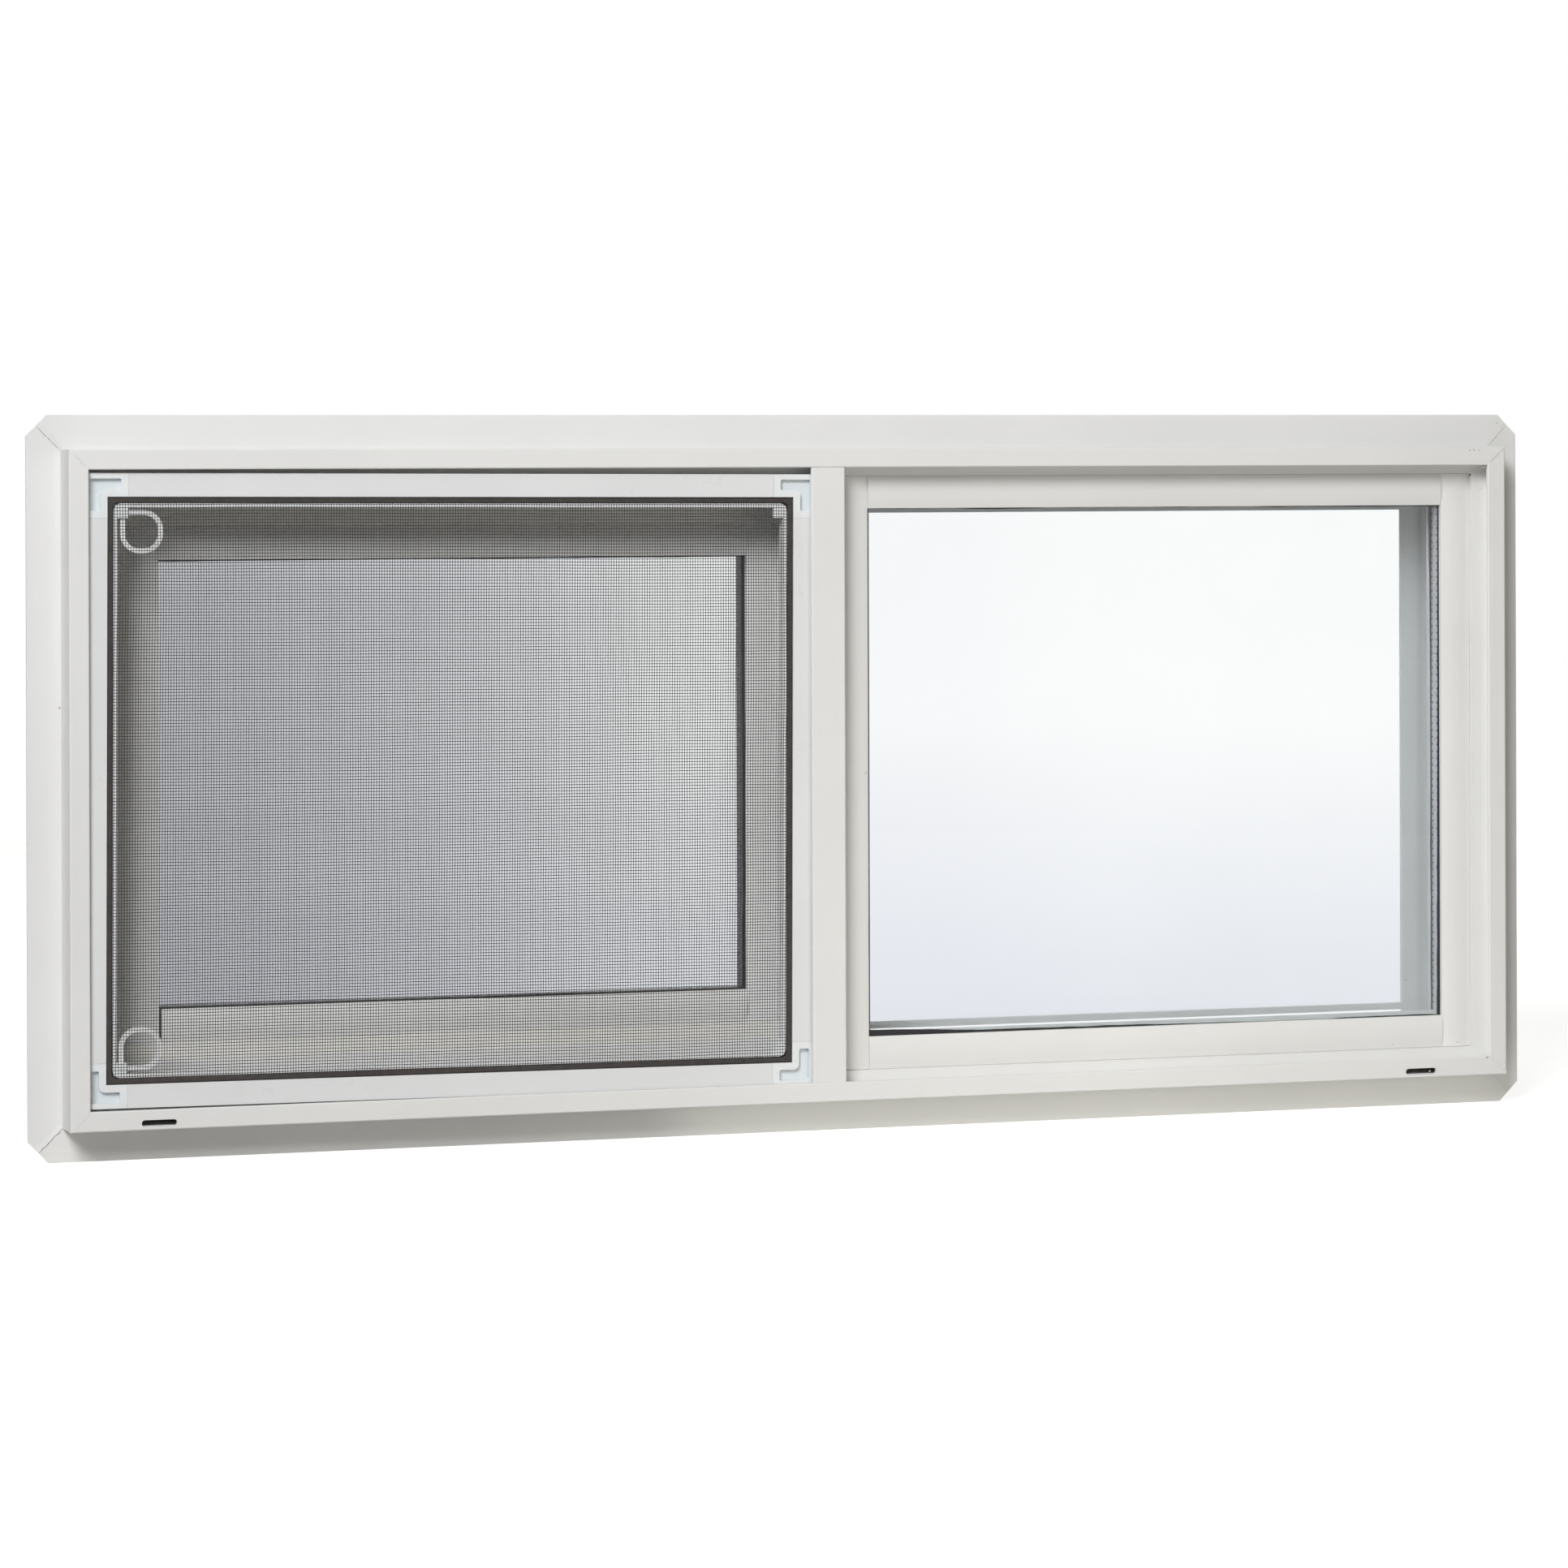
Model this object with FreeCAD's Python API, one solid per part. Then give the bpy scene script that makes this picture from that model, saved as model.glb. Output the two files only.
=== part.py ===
"""A small horizontal sliding window: a welded vinyl frame with a nailing fin, one fixed
double pane on the right, one sliding sash on the left and an insect screen outside it.

Lengths are in millimetres. The model is drawn about the middle of the frame, with x to the
right as seen from outdoors, y from the outdoor face inwards and z up. On export it is moved
so that the origin lies on the back of the sill's fin, at the middle of that fin.
"""
import FreeCAD, Part
import math
import os
from FreeCAD import Vector

# Main frame, one hollow profile on all four sides
FRAME_WIDTH = 806.45
FRAME_HEIGHT = 349.25
FRAME_DEPTH = 66.7
WALL = 2.0
LIP_WIDTH = 10.4
LIP_THICKNESS = 2.2
STOP_DEPTH = 11.6
STEP_WIDTH = 15.0
LEG_THICKNESS = 3.6
LEG_BEHIND_BEAD = 0.5
INNER_LEG_WIDTH = 35.4
INNER_LEG_THICKNESS = 2.2
CHANNEL_WIDTH = 26.9
CHANNEL_FLOOR = 12.9
EDGE_ROUND = 0.8

# Nailing fin
FIN_PROJECTION = 17.8
FIN_THICKNESS = 1.8
FIN_BACK = 25.4
FIN_CORNER_CLIP = 11.0

# Weep slots in the sill's outdoor face
WEEP_LENGTH = 18.5
WEEP_HEIGHT = 3.4
WEEP_ABOVE_EDGE = 3.5
WEEP_LEFT_INSET = 46.0
WEEP_RIGHT_INSET = 52.0

# Sealed double panes and the beads that hold them
PANE_THICKNESS = 3.0
PANE_GAP = 10.0
PANE_EDGE_GAP = 4.4
SPACER_WIDTH = 6.5
SPACER_SHOWS = 0.8
TAPE_THICKNESS = 0.8
TAPE_WIDTH = 11.0
TAPE_SHOWS = 0.6
BEAD_WIDTH = 17.5
BEAD_THICKNESS = 2.4
BEAD_CROWN = 1.3
BEAD_GAP = 0.15
BEAD_SNAP_THICKNESS = 1.8
BEAD_SNAP_LENGTH = 9.0

# Fixed centre mullion
MULLION_LEFT = -3.3
MULLION_WIDTH = 18.8
MULLION_SETBACK = 0.4

# Sliding sash
SASH_MULLION_SETBACK = 6.2
SASH_SIDE_GAP = 5.0
SASH_HEAD_GAP = 8.1
SASH_SILL_GAP = 8.1
SASH_FACE_GAP = 1.6
SASH_DEPTH = 24.0
SASH_STEP = 19.1
SASH_LEG_THICKNESS = 3.1
SASH_BEAD_SHORT = 1.0

# Sill track and the glides that ride on it
TRACK_BASE_WIDTH = 14.0
TRACK_BASE_THICKNESS = 1.6
TRACK_RIB_WIDTH = 2.4
TRACK_END_GAP = 1.0
GLIDE_LENGTH = 36.0
GLIDE_WIDTH = 10.0
GLIDE_ROOF = 1.3
GLIDE_LEG_LENGTH = 4.0
GLIDE_INSET = 48.0
GLIDE_SIDE_PLAY = 0.5
GLIDE_TOP_PLAY = 0.3

# Latch on the indoor face of the sash's pull stile
LATCH_WIDTH = 11.0
LATCH_HEIGHT = 58.0
LATCH_DEPTH = 6.5
LATCH_FROM_GLASS = 2.4
LATCH_ROUND = 3.0
LATCH_EDGE_ROUND = 1.5
LEVER_WIDTH = 7.0
LEVER_HEIGHT = 17.0
LEVER_DEPTH = 4.5
LEVER_TOE = 1.6

# Insect screen
SCREEN_JAMB_LAP = 2.8
SCREEN_MULLION_LAP = 2.1
SCREEN_TILT_DEG = 0.31
SCREEN_SEAT_GAP = 0.3
SCREEN_SIDE_ROOM = 1.6
SCREEN_SILL_ROOM = 1.4
SCREEN_HEAD_ROOM = 3.0
SCREEN_BAR_WIDTH = 17.6
SCREEN_BAR_DEPTH = 8.0
SCREEN_BAR_SKIN = 0.7
SCREEN_FLAT_WIDTH = 12.15
GROOVE_WIDTH = 3.4
GROOVE_DEPTH = 4.2
GROOVE_CORNER_ROUND = 4.0
SCREEN_FACE_STEP = 0.9
SPLINE_PLAY = 0.1
SPLINE_SETBACK = 0.5
MESH_THICKNESS = 0.4
KEY_LENGTH = 23.2
KEY_ROUND = 0.8
GUSSET_THICKNESS = 1.0
RECESS_DEPTH = 2.4
RECESS_MARGIN = 2.8
RECESS_END_MARGIN = 3.8
RECESS_WIDTH = 5.6
RECESS_ROUND = 0.9
RECESS_INNER_ROUND = 3.0
PULL_SIZE = 22.2
PULL_BAR = 2.5
PULL_THICKNESS = 1.8
PULL_SIDE_GAP = 1.6
PULL_TOP_GAP = 1.4
PULL_ROUND = 10.0

# Spare length of every cutting solid beyond the piece that it cuts
CUT_MARGIN = 1.0

# Places worked out from the sizes above
HALF_WIDTH = FRAME_WIDTH / 2
HALF_HEIGHT = FRAME_HEIGHT / 2
PANE_UNIT = 2 * PANE_THICKNESS + PANE_GAP
FIN_FRONT = FIN_BACK - FIN_THICKNESS
INNER_LEG_Y = FRAME_DEPTH - INNER_LEG_THICKNESS
CHANNEL_Y = INNER_LEG_Y - CHANNEL_WIDTH
LEG_Y = CHANNEL_Y - LEG_THICKNESS
LEG_WIDTH = STEP_WIDTH + BEAD_WIDTH - LEG_BEHIND_BEAD
JAMB_POCKET = LIP_WIDTH - SCREEN_JAMB_LAP - SCREEN_SIDE_ROOM
SILL_POCKET = LIP_WIDTH - SCREEN_SILL_ROOM
MULLION_RIGHT = MULLION_LEFT + MULLION_WIDTH
MULLION_STOP = MULLION_LEFT - (STEP_WIDTH - LIP_WIDTH)
MULLION_WEB = MULLION_LEFT + SCREEN_MULLION_LAP + SCREEN_SIDE_ROOM
SASH_Y = CHANNEL_Y + SASH_FACE_GAP
SASH_MIDDLE_Y = SASH_Y + SASH_DEPTH / 2
SASH_BACK = SASH_Y + SASH_DEPTH
SASH_LEG_Y = SASH_BACK - SASH_LEG_THICKNESS
SASH_LEG_WIDTH = SASH_STEP + BEAD_WIDTH - LEG_BEHIND_BEAD
SCREEN_Y = STOP_DEPTH - SCREEN_SEAT_GAP - SCREEN_BAR_DEPTH
SCREEN_STEP_Y = SCREEN_Y + SCREEN_FACE_STEP
GROOVE_OUTER = SCREEN_FLAT_WIDTH
GROOVE_INNER = SCREEN_FLAT_WIDTH + GROOVE_WIDTH
ORIGIN_SHIFT = Vector(0, -FIN_BACK, HALF_HEIGHT + FIN_PROJECTION / 2)

RIGHT = Vector(1, 0, 0)
INDOORS = Vector(0, 1, 0)
UP = Vector(0, 0, 1)


class Rectangle:
    """An upright rectangle, whose sides, corners and insets the pieces are placed by."""

    def __init__(self, x0, x1, z0, z1):
        self.x0, self.x1, self.z0, self.z1 = x0, x1, z0, z1
        self.centre = Vector((x0 + x1) / 2, 0, (z0 + z1) / 2)

    def inset(self, amount):
        return Rectangle(self.x0 + amount, self.x1 - amount, self.z0 + amount, self.z1 - amount)

    def sides(self):
        """Each side by name: it is measured along itself and in from its outer edge."""
        xm, zm = self.centre.x, self.centre.z
        half_x, half_z = (self.x1 - self.x0) / 2, (self.z1 - self.z0) / 2
        return {
            "top": Side(Vector(xm, 0, self.z1), RIGHT, -UP, half_x),
            "bottom": Side(Vector(xm, 0, self.z0), RIGHT, UP, half_x),
            "left": Side(Vector(self.x0, 0, zm), UP, RIGHT, half_z),
            "right": Side(Vector(self.x1, 0, zm), UP, -RIGHT, half_z),
        }

    def corners(self):
        """Each corner by name, with the directions that lead in along x and along z."""
        return {
            "top_left": (Vector(self.x0, 0, self.z1), RIGHT, -UP),
            "top_right": (Vector(self.x1, 0, self.z1), -RIGHT, -UP),
            "bottom_left": (Vector(self.x0, 0, self.z0), RIGHT, UP),
            "bottom_right": (Vector(self.x1, 0, self.z0), -RIGHT, UP),
        }

    def plate(self, y0, y1, corner_round=0.0):
        """Flat plate of this outline from depth y0 to y1."""
        outline = [(self.x0, self.z0), (self.x1, self.z0), (self.x1, self.z1), (self.x0, self.z1)]
        rim = rounded_wire([(x, z, corner_round) for x, z in outline], lambda x, z: Vector(x, y0, z))
        return swept([rim], INDOORS * (y1 - y0))


class Side:
    """One side of a rectangle: a point lies along it, in from its edge, at a depth."""

    def __init__(self, middle, along, inward, half):
        self.middle, self.along, self.inward, self.half = middle, along, inward, half

    def at(self, along, inset, depth):
        return self.middle + self.along * along + self.inward * inset + INDOORS * depth


def rounded_wire(corners, place):
    """Closed wire through (a, b, radius, bulge) corners that place(a, b) puts in space.

    The radius rounds the corner. The bulge makes the edge that starts there an arc whose
    middle stands that far to the left of its chord. Both may be left out.
    """
    spots = [Vector(corner[0], corner[1], 0) for corner in corners]
    count = len(corners)
    into, middle, out_of = [], [], []
    for i, corner in enumerate(corners):
        radius = corner[2] if len(corner) > 2 else 0
        back = (spots[i - 1] - spots[i]).normalize()
        ahead = (spots[(i + 1) % count] - spots[i]).normalize()
        half_angle = back.getAngle(ahead) / 2
        reach = radius / math.tan(half_angle)
        inward = (back + ahead).normalize() * (radius / math.sin(half_angle) - radius)
        into.append(spots[i] + back * reach)
        middle.append(spots[i] + inward)
        out_of.append(spots[i] + ahead * reach)
    edges = []
    for i, corner in enumerate(corners):
        if into[i].distanceToPoint(out_of[i]) > 0:
            arc = [place(p.x, p.y) for p in (into[i], middle[i], out_of[i])]
            edges.append(Part.Arc(*arc).toShape())
        start, end = out_of[i], into[(i + 1) % count]
        bulge = corner[3] if len(corner) > 3 else 0
        if bulge:
            left = Vector(start.y - end.y, end.x - start.x, 0).normalize()
            arc = [place(p.x, p.y) for p in (start, (start + end) / 2 + left * bulge, end)]
            edges.append(Part.Arc(*arc).toShape())
        elif start.distanceToPoint(end) > Part.Precision.confusion():
            edges.append(Part.LineSegment(place(start.x, start.y), place(end.x, end.y)).toShape())
    return Part.Wire(edges)


def swept(wires, sweep):
    """Solid swept along a vector by a face: its first wire is the rim, the rest are holes."""
    return Part.makeFace(wires, "Part::FaceMakerBullseye").extrude(sweep)


def bar(side, start, end, outline, hollows=()):
    """Bar of one profile along a side; the profile's corners are (inset, depth)."""
    wires = [rounded_wire(corners, lambda inset, depth: side.at(start, inset, depth))
             for corners in (outline, *hollows)]
    return swept(wires, side.along * (end - start))


def mitred_bar(side, outline, hollows=(), overhang=0.0):
    """Bar with both ends cut at 45 degrees through the corners of its rectangle.

    The overhang is how far the profile reaches outside the rectangle.
    """
    reach = side.half + overhang
    whole = bar(side, -reach, reach, outline, hollows)
    width = max(corner[0] for corner in outline)
    first, last = whole.BoundBox.YMin - CUT_MARGIN, whole.BoundBox.YMax + CUT_MARGIN
    trim = [(-reach, -overhang), (reach, -overhang), (side.half - width, width), (width - side.half, width)]
    wedge = swept([rounded_wire(trim, lambda along, inset: side.at(along, inset, first))],
                  INDOORS * (last - first))
    return whole.common(wedge)


def ring(rectangle, outer, inner, y0, y1, inner_round=0.0):
    """Flat band between two insets of a rectangle, from depth y0 to y1."""
    hole = rectangle.inset(inner).plate(y0 - CUT_MARGIN, y1 + CUT_MARGIN, inner_round)
    return rectangle.inset(outer).plate(y0, y1).cut(hole)


def frame_profile(pocket):
    """Outline and chambers of the frame's profile, with the screen pocket's floor at an inset."""
    outline = [
        (0, 0, EDGE_ROUND),
        (LIP_WIDTH, 0, EDGE_ROUND),
        (LIP_WIDTH, LIP_THICKNESS),
        (pocket, LIP_THICKNESS),
        (pocket, STOP_DEPTH),
        (STEP_WIDTH, STOP_DEPTH),
        (STEP_WIDTH, LEG_Y),
        (LEG_WIDTH, LEG_Y, EDGE_ROUND),
        (LEG_WIDTH, CHANNEL_Y, EDGE_ROUND),
        (CHANNEL_FLOOR, CHANNEL_Y),
        (CHANNEL_FLOOR, INNER_LEG_Y),
        (INNER_LEG_WIDTH, INNER_LEG_Y, EDGE_ROUND),
        (INNER_LEG_WIDTH, FRAME_DEPTH, EDGE_ROUND),
        (0, FRAME_DEPTH, EDGE_ROUND),
        (0, FIN_BACK),
        (-FIN_PROJECTION, FIN_BACK),
        (-FIN_PROJECTION, FIN_FRONT),
        (0, FIN_FRONT),
    ]
    outdoor_chamber = [
        (WALL, LIP_THICKNESS),
        (pocket - WALL, LIP_THICKNESS),
        (pocket - WALL, STOP_DEPTH + WALL),
        (STEP_WIDTH - WALL, STOP_DEPTH + WALL),
        (STEP_WIDTH - WALL, FIN_FRONT),
        (WALL, FIN_FRONT),
    ]
    middle_chamber = [(WALL, FIN_BACK), (STEP_WIDTH - WALL, FIN_BACK),
                      (STEP_WIDTH - WALL, LEG_Y), (WALL, LEG_Y)]
    indoor_chamber = [(WALL, CHANNEL_Y), (CHANNEL_FLOOR - WALL, CHANNEL_Y),
                      (CHANNEL_FLOOR - WALL, INNER_LEG_Y), (WALL, INNER_LEG_Y)]
    return outline, (outdoor_chamber, middle_chamber, indoor_chamber)


def fin_outline_block():
    """Block of the whole frame's depth whose outline is the fin's, with its corners clipped."""
    half_x, half_z = HALF_WIDTH + FIN_PROJECTION, HALF_HEIGHT + FIN_PROJECTION
    clipped_x, clipped_z = half_x - FIN_CORNER_CLIP, half_z - FIN_CORNER_CLIP
    outline = [(-clipped_x, -half_z), (clipped_x, -half_z), (half_x, -clipped_z), (half_x, clipped_z),
               (clipped_x, half_z), (-clipped_x, half_z), (-half_x, clipped_z), (-half_x, -clipped_z)]
    rim = rounded_wire(outline, lambda x, z: Vector(x, -CUT_MARGIN, z))
    return swept([rim], INDOORS * (FRAME_DEPTH + 2 * CUT_MARGIN))


def weep_slot(middle_x):
    """Round-ended slot that opens the sill's outdoor wall into its chamber."""
    half_x, half_z, end_round = WEEP_LENGTH / 2, WEEP_HEIGHT / 2, WEEP_HEIGHT / 2
    middle_z = WEEP_ABOVE_EDGE - HALF_HEIGHT
    outline = [(-half_x, -half_z), (half_x, -half_z), (half_x, half_z), (-half_x, half_z)]
    rim = rounded_wire([(x, z, end_round) for x, z in outline],
                       lambda x, z: Vector(middle_x + x, -CUT_MARGIN, middle_z + z))
    return swept([rim], INDOORS * (LIP_THICKNESS + CUT_MARGIN))


def main_frame():
    """The four welded frame members, each with its length of fin."""
    sides = Rectangle(-HALF_WIDTH, HALF_WIDTH, -HALF_HEIGHT, HALF_HEIGHT).sides()
    clipped = fin_outline_block()
    pockets = {"top": SILL_POCKET, "bottom": SILL_POCKET, "left": JAMB_POCKET, "right": JAMB_POCKET}
    members = {name: mitred_bar(side, *frame_profile(pockets[name]), FIN_PROJECTION).common(clipped)
               for name, side in sides.items()}
    left_slot = weep_slot(WEEP_LEFT_INSET - HALF_WIDTH)
    right_slot = weep_slot(HALF_WIDTH - WEEP_RIGHT_INSET)
    return {
        "frame_head": members["top"],
        "frame_sill": members["bottom"].cut(left_slot).cut(right_slot),
        "frame_left_jamb": members["left"],
        "frame_right_jamb": members["right"],
    }


def mullion():
    """Hollow centre bar: a flange over the screen's edge and a leg behind the fixed pane.

    Its ends are notched to the steps of the head and the sill.
    """
    leg_x = MULLION_RIGHT + BEAD_WIDTH - LEG_BEHIND_BEAD
    outline = [
        (MULLION_LEFT, MULLION_SETBACK, EDGE_ROUND),
        (MULLION_RIGHT, MULLION_SETBACK, EDGE_ROUND),
        (MULLION_RIGHT, LEG_Y),
        (leg_x, LEG_Y, EDGE_ROUND),
        (leg_x, CHANNEL_Y, EDGE_ROUND),
        (MULLION_STOP, CHANNEL_Y, EDGE_ROUND),
        (MULLION_STOP, STOP_DEPTH, EDGE_ROUND),
        (MULLION_WEB, STOP_DEPTH),
        (MULLION_WEB, LIP_THICKNESS),
        (MULLION_LEFT, LIP_THICKNESS),
    ]
    chamber = [
        (MULLION_WEB + WALL, MULLION_SETBACK + WALL),
        (MULLION_RIGHT - WALL, MULLION_SETBACK + WALL),
        (MULLION_RIGHT - WALL, LEG_Y),
        (MULLION_STOP + WALL, LEG_Y),
        (MULLION_STOP + WALL, STOP_DEPTH + WALL),
        (MULLION_WEB + WALL, STOP_DEPTH + WALL),
    ]
    half = HALF_HEIGHT - LIP_WIDTH
    wires = [rounded_wire(corners, lambda x, y: Vector(x, y, -half)) for corners in (outline, chamber)]
    post = swept(wires, UP * (2 * half))
    for notch_y, inset in ((STOP_DEPTH, STEP_WIDTH), (LEG_Y, LEG_WIDTH)):
        opening = HALF_HEIGHT - inset
        kept = Rectangle(MULLION_STOP - CUT_MARGIN, leg_x + CUT_MARGIN, -opening, opening)
        spared = Rectangle(kept.x0, kept.x1, -HALF_HEIGHT, HALF_HEIGHT)
        behind = spared.plate(notch_y, CHANNEL_Y + CUT_MARGIN)
        post = post.cut(behind.cut(kept.plate(notch_y, CHANNEL_Y + CUT_MARGIN)))
    return {"mullion": post}


def glazing(prefix, opening, pane_y, bottom_bead_short=0.0):
    """One sealed double pane in an opening, with its tape and its four crowned snap-in beads.

    The upright beads run the whole height, and the level ones are cut between them. A bottom
    bead that is cut short leaves an open joint at its left end.
    """
    bead_back = pane_y - TAPE_THICKNESS
    bead_edge = bead_back - BEAD_THICKNESS
    snap_end = bead_back + BEAD_SNAP_LENGTH
    snap_inner = BEAD_GAP + BEAD_SNAP_THICKNESS
    profile = [
        (BEAD_WIDTH, bead_edge, 0, BEAD_CROWN),
        (BEAD_GAP, bead_edge),
        (BEAD_GAP, snap_end),
        (snap_inner, snap_end),
        (snap_inner, bead_back),
        (BEAD_WIDTH, bead_back),
    ]
    pieces = {}
    for name, side in opening.sides().items():
        upright = name in ("left", "right")
        half = side.half - BEAD_GAP if upright else side.half - BEAD_WIDTH - BEAD_GAP
        start = bottom_bead_short - half if name == "bottom" else -half
        pieces[f"{prefix}_bead_{name}"] = bar(side, start, half, profile)
    spacer_y, inner_y = pane_y + PANE_THICKNESS, pane_y + PANE_THICKNESS + PANE_GAP
    spacer_inner = BEAD_WIDTH + SPACER_SHOWS
    spacer_outer = spacer_inner - SPACER_WIDTH
    tape_inner = BEAD_WIDTH + TAPE_SHOWS
    sheet = opening.inset(PANE_EDGE_GAP)
    pieces[f"{prefix}_outer_pane"] = sheet.plate(pane_y, spacer_y)
    pieces[f"{prefix}_inner_pane"] = sheet.plate(inner_y, inner_y + PANE_THICKNESS)
    pieces[f"{prefix}_spacer"] = ring(opening, spacer_outer, spacer_inner, spacer_y, inner_y)
    pieces[f"{prefix}_edge_seal"] = ring(opening, PANE_EDGE_GAP, spacer_outer, spacer_y, inner_y)
    pieces[f"{prefix}_glazing_tape"] = ring(opening, tape_inner - TAPE_WIDTH, tape_inner, bead_back, pane_y)
    return pieces


def fixed_light():
    """The double pane in the right half, between the mullion and the frame."""
    half_z = HALF_HEIGHT - STEP_WIDTH
    opening = Rectangle(MULLION_RIGHT, HALF_WIDTH - STEP_WIDTH, -half_z, half_z)
    return glazing("fixed", opening, LEG_Y - PANE_UNIT)


def sash_rectangle():
    """Outline of the closed sash, in the indoor channel."""
    x0 = CHANNEL_FLOOR + SASH_SIDE_GAP - HALF_WIDTH
    z0 = CHANNEL_FLOOR + SASH_SILL_GAP - HALF_HEIGHT
    z1 = HALF_HEIGHT - CHANNEL_FLOOR - SASH_HEAD_GAP
    return Rectangle(x0, MULLION_RIGHT - SASH_MULLION_SETBACK, z0, z1)


def sash():
    """The sliding sash: four welded hollow members round a double pane."""
    outline = [
        (0, SASH_Y, EDGE_ROUND),
        (SASH_STEP, SASH_Y, EDGE_ROUND),
        (SASH_STEP, SASH_LEG_Y),
        (SASH_LEG_WIDTH, SASH_LEG_Y, EDGE_ROUND),
        (SASH_LEG_WIDTH, SASH_BACK, EDGE_ROUND),
        (0, SASH_BACK, EDGE_ROUND),
    ]
    chamber = [(WALL, SASH_Y + WALL), (SASH_STEP - WALL, SASH_Y + WALL),
               (SASH_STEP - WALL, SASH_BACK - WALL), (WALL, SASH_BACK - WALL)]
    rectangle = sash_rectangle()
    names = {"top": "sash_top_rail", "bottom": "sash_bottom_rail",
             "left": "sash_pull_stile", "right": "sash_meeting_stile"}
    pieces = {names[name]: mitred_bar(side, outline, [chamber]) for name, side in rectangle.sides().items()}
    pieces.update(glazing("sash", rectangle.inset(SASH_STEP), SASH_LEG_Y - PANE_UNIT, SASH_BEAD_SHORT))
    return pieces


def track_and_glides():
    """The ribbed track on the floor of the sill's channel and the two glides that straddle it."""
    sill = Rectangle(-HALF_WIDTH, HALF_WIDTH, -HALF_HEIGHT, HALF_HEIGHT).sides()["bottom"]
    base_top = CHANNEL_FLOOR + TRACK_BASE_THICKNESS
    rib_top = CHANNEL_FLOOR + SASH_SILL_GAP - GLIDE_ROOF - GLIDE_TOP_PLAY
    half_base, half_rib = TRACK_BASE_WIDTH / 2, TRACK_RIB_WIDTH / 2
    track_profile = [
        (CHANNEL_FLOOR, SASH_MIDDLE_Y - half_base),
        (CHANNEL_FLOOR, SASH_MIDDLE_Y + half_base),
        (base_top, SASH_MIDDLE_Y + half_base),
        (base_top, SASH_MIDDLE_Y + half_rib),
        (rib_top, SASH_MIDDLE_Y + half_rib, EDGE_ROUND),
        (rib_top, SASH_MIDDLE_Y - half_rib, EDGE_ROUND),
        (base_top, SASH_MIDDLE_Y - half_rib),
        (base_top, SASH_MIDDLE_Y - half_base),
    ]
    half_track = HALF_WIDTH - CHANNEL_FLOOR - TRACK_END_GAP

    rail = sash_rectangle().sides()["bottom"]
    leg_end = GLIDE_ROOF + GLIDE_LEG_LENGTH
    half_glide, half_slot = GLIDE_WIDTH / 2, half_rib + GLIDE_SIDE_PLAY
    glide_profile = [
        (0, SASH_MIDDLE_Y - half_glide),
        (0, SASH_MIDDLE_Y + half_glide),
        (-leg_end, SASH_MIDDLE_Y + half_glide, EDGE_ROUND),
        (-leg_end, SASH_MIDDLE_Y + half_slot, EDGE_ROUND),
        (-GLIDE_ROOF, SASH_MIDDLE_Y + half_slot),
        (-GLIDE_ROOF, SASH_MIDDLE_Y - half_slot),
        (-leg_end, SASH_MIDDLE_Y - half_slot, EDGE_ROUND),
        (-leg_end, SASH_MIDDLE_Y - half_glide, EDGE_ROUND),
    ]
    outer, inner = rail.half - GLIDE_INSET, rail.half - GLIDE_INSET - GLIDE_LENGTH
    glides = [bar(rail, -outer, -inner, glide_profile), bar(rail, inner, outer, glide_profile)]
    return {
        "sill_track": bar(sill, -half_track, half_track, track_profile),
        "sash_glides": Part.makeCompound(glides),
    }


def latch():
    """The latch's rounded case on the pull stile, and its wedge-shaped thumb lever."""
    rectangle = sash_rectangle()
    right = rectangle.x0 + SASH_STEP + BEAD_WIDTH - LATCH_FROM_GLASS
    middle_z = rectangle.centre.z
    face_y = SASH_BACK + LATCH_DEPTH
    outline = Rectangle(right - LATCH_WIDTH, right, middle_z - LATCH_HEIGHT / 2, middle_z + LATCH_HEIGHT / 2)
    case = outline.plate(SASH_BACK, face_y, LATCH_ROUND)
    face_edges = [edge for edge in case.Edges if edge.BoundBox.YMin > face_y - CUT_MARGIN]
    case = case.makeFillet(LATCH_EDGE_ROUND, face_edges)
    half = LEVER_HEIGHT / 2
    wedge = [(0, -half), (LEVER_DEPTH, -half, LEVER_TOE / 2), (LEVER_TOE, half, LEVER_TOE / 2), (0, half)]
    lever_x = right - LATCH_WIDTH / 2 - LEVER_WIDTH / 2
    rim = rounded_wire(wedge, lambda out, up: Vector(lever_x, face_y + out, middle_z + up))
    return {"sash_latch": case, "sash_latch_lever": swept([rim], RIGHT * LEVER_WIDTH)}


def screen_rectangle():
    """Outline of the screen before its tilt, which seats its low corner on the sill.

    Tilted, it reaches from that seat to a little below the pocket in the head.
    """
    x0 = LIP_WIDTH - SCREEN_JAMB_LAP - HALF_WIDTH
    x1 = MULLION_LEFT + SCREEN_MULLION_LAP
    tilt = math.radians(SCREEN_TILT_DEG)
    seat = SILL_POCKET + SCREEN_SEAT_GAP - HALF_HEIGHT
    top = HALF_HEIGHT - SILL_POCKET - SCREEN_HEAD_ROOM
    half_z = (top - seat - (x1 - x0) * math.sin(tilt)) / math.cos(tilt) / 2
    middle_z = (top + seat) / 2
    return Rectangle(x0, x1, middle_z - half_z, middle_z + half_z)


def corner_prism(corner, along_x, along_z, outline, y0, y1):
    """Prism between two depths; its outline is measured along both sides from a corner."""
    rim = rounded_wire(outline, lambda u, v: corner + along_x * u + along_z * v + INDOORS * y0)
    return swept([rim], INDOORS * (y1 - y0))


def inner_square():
    """The square between the inner edges of two bars, as far as their corner key reaches."""
    near, far = SCREEN_BAR_WIDTH, KEY_LENGTH
    return [(near, near), (far, near), (far, far), (near, far)]


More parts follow.
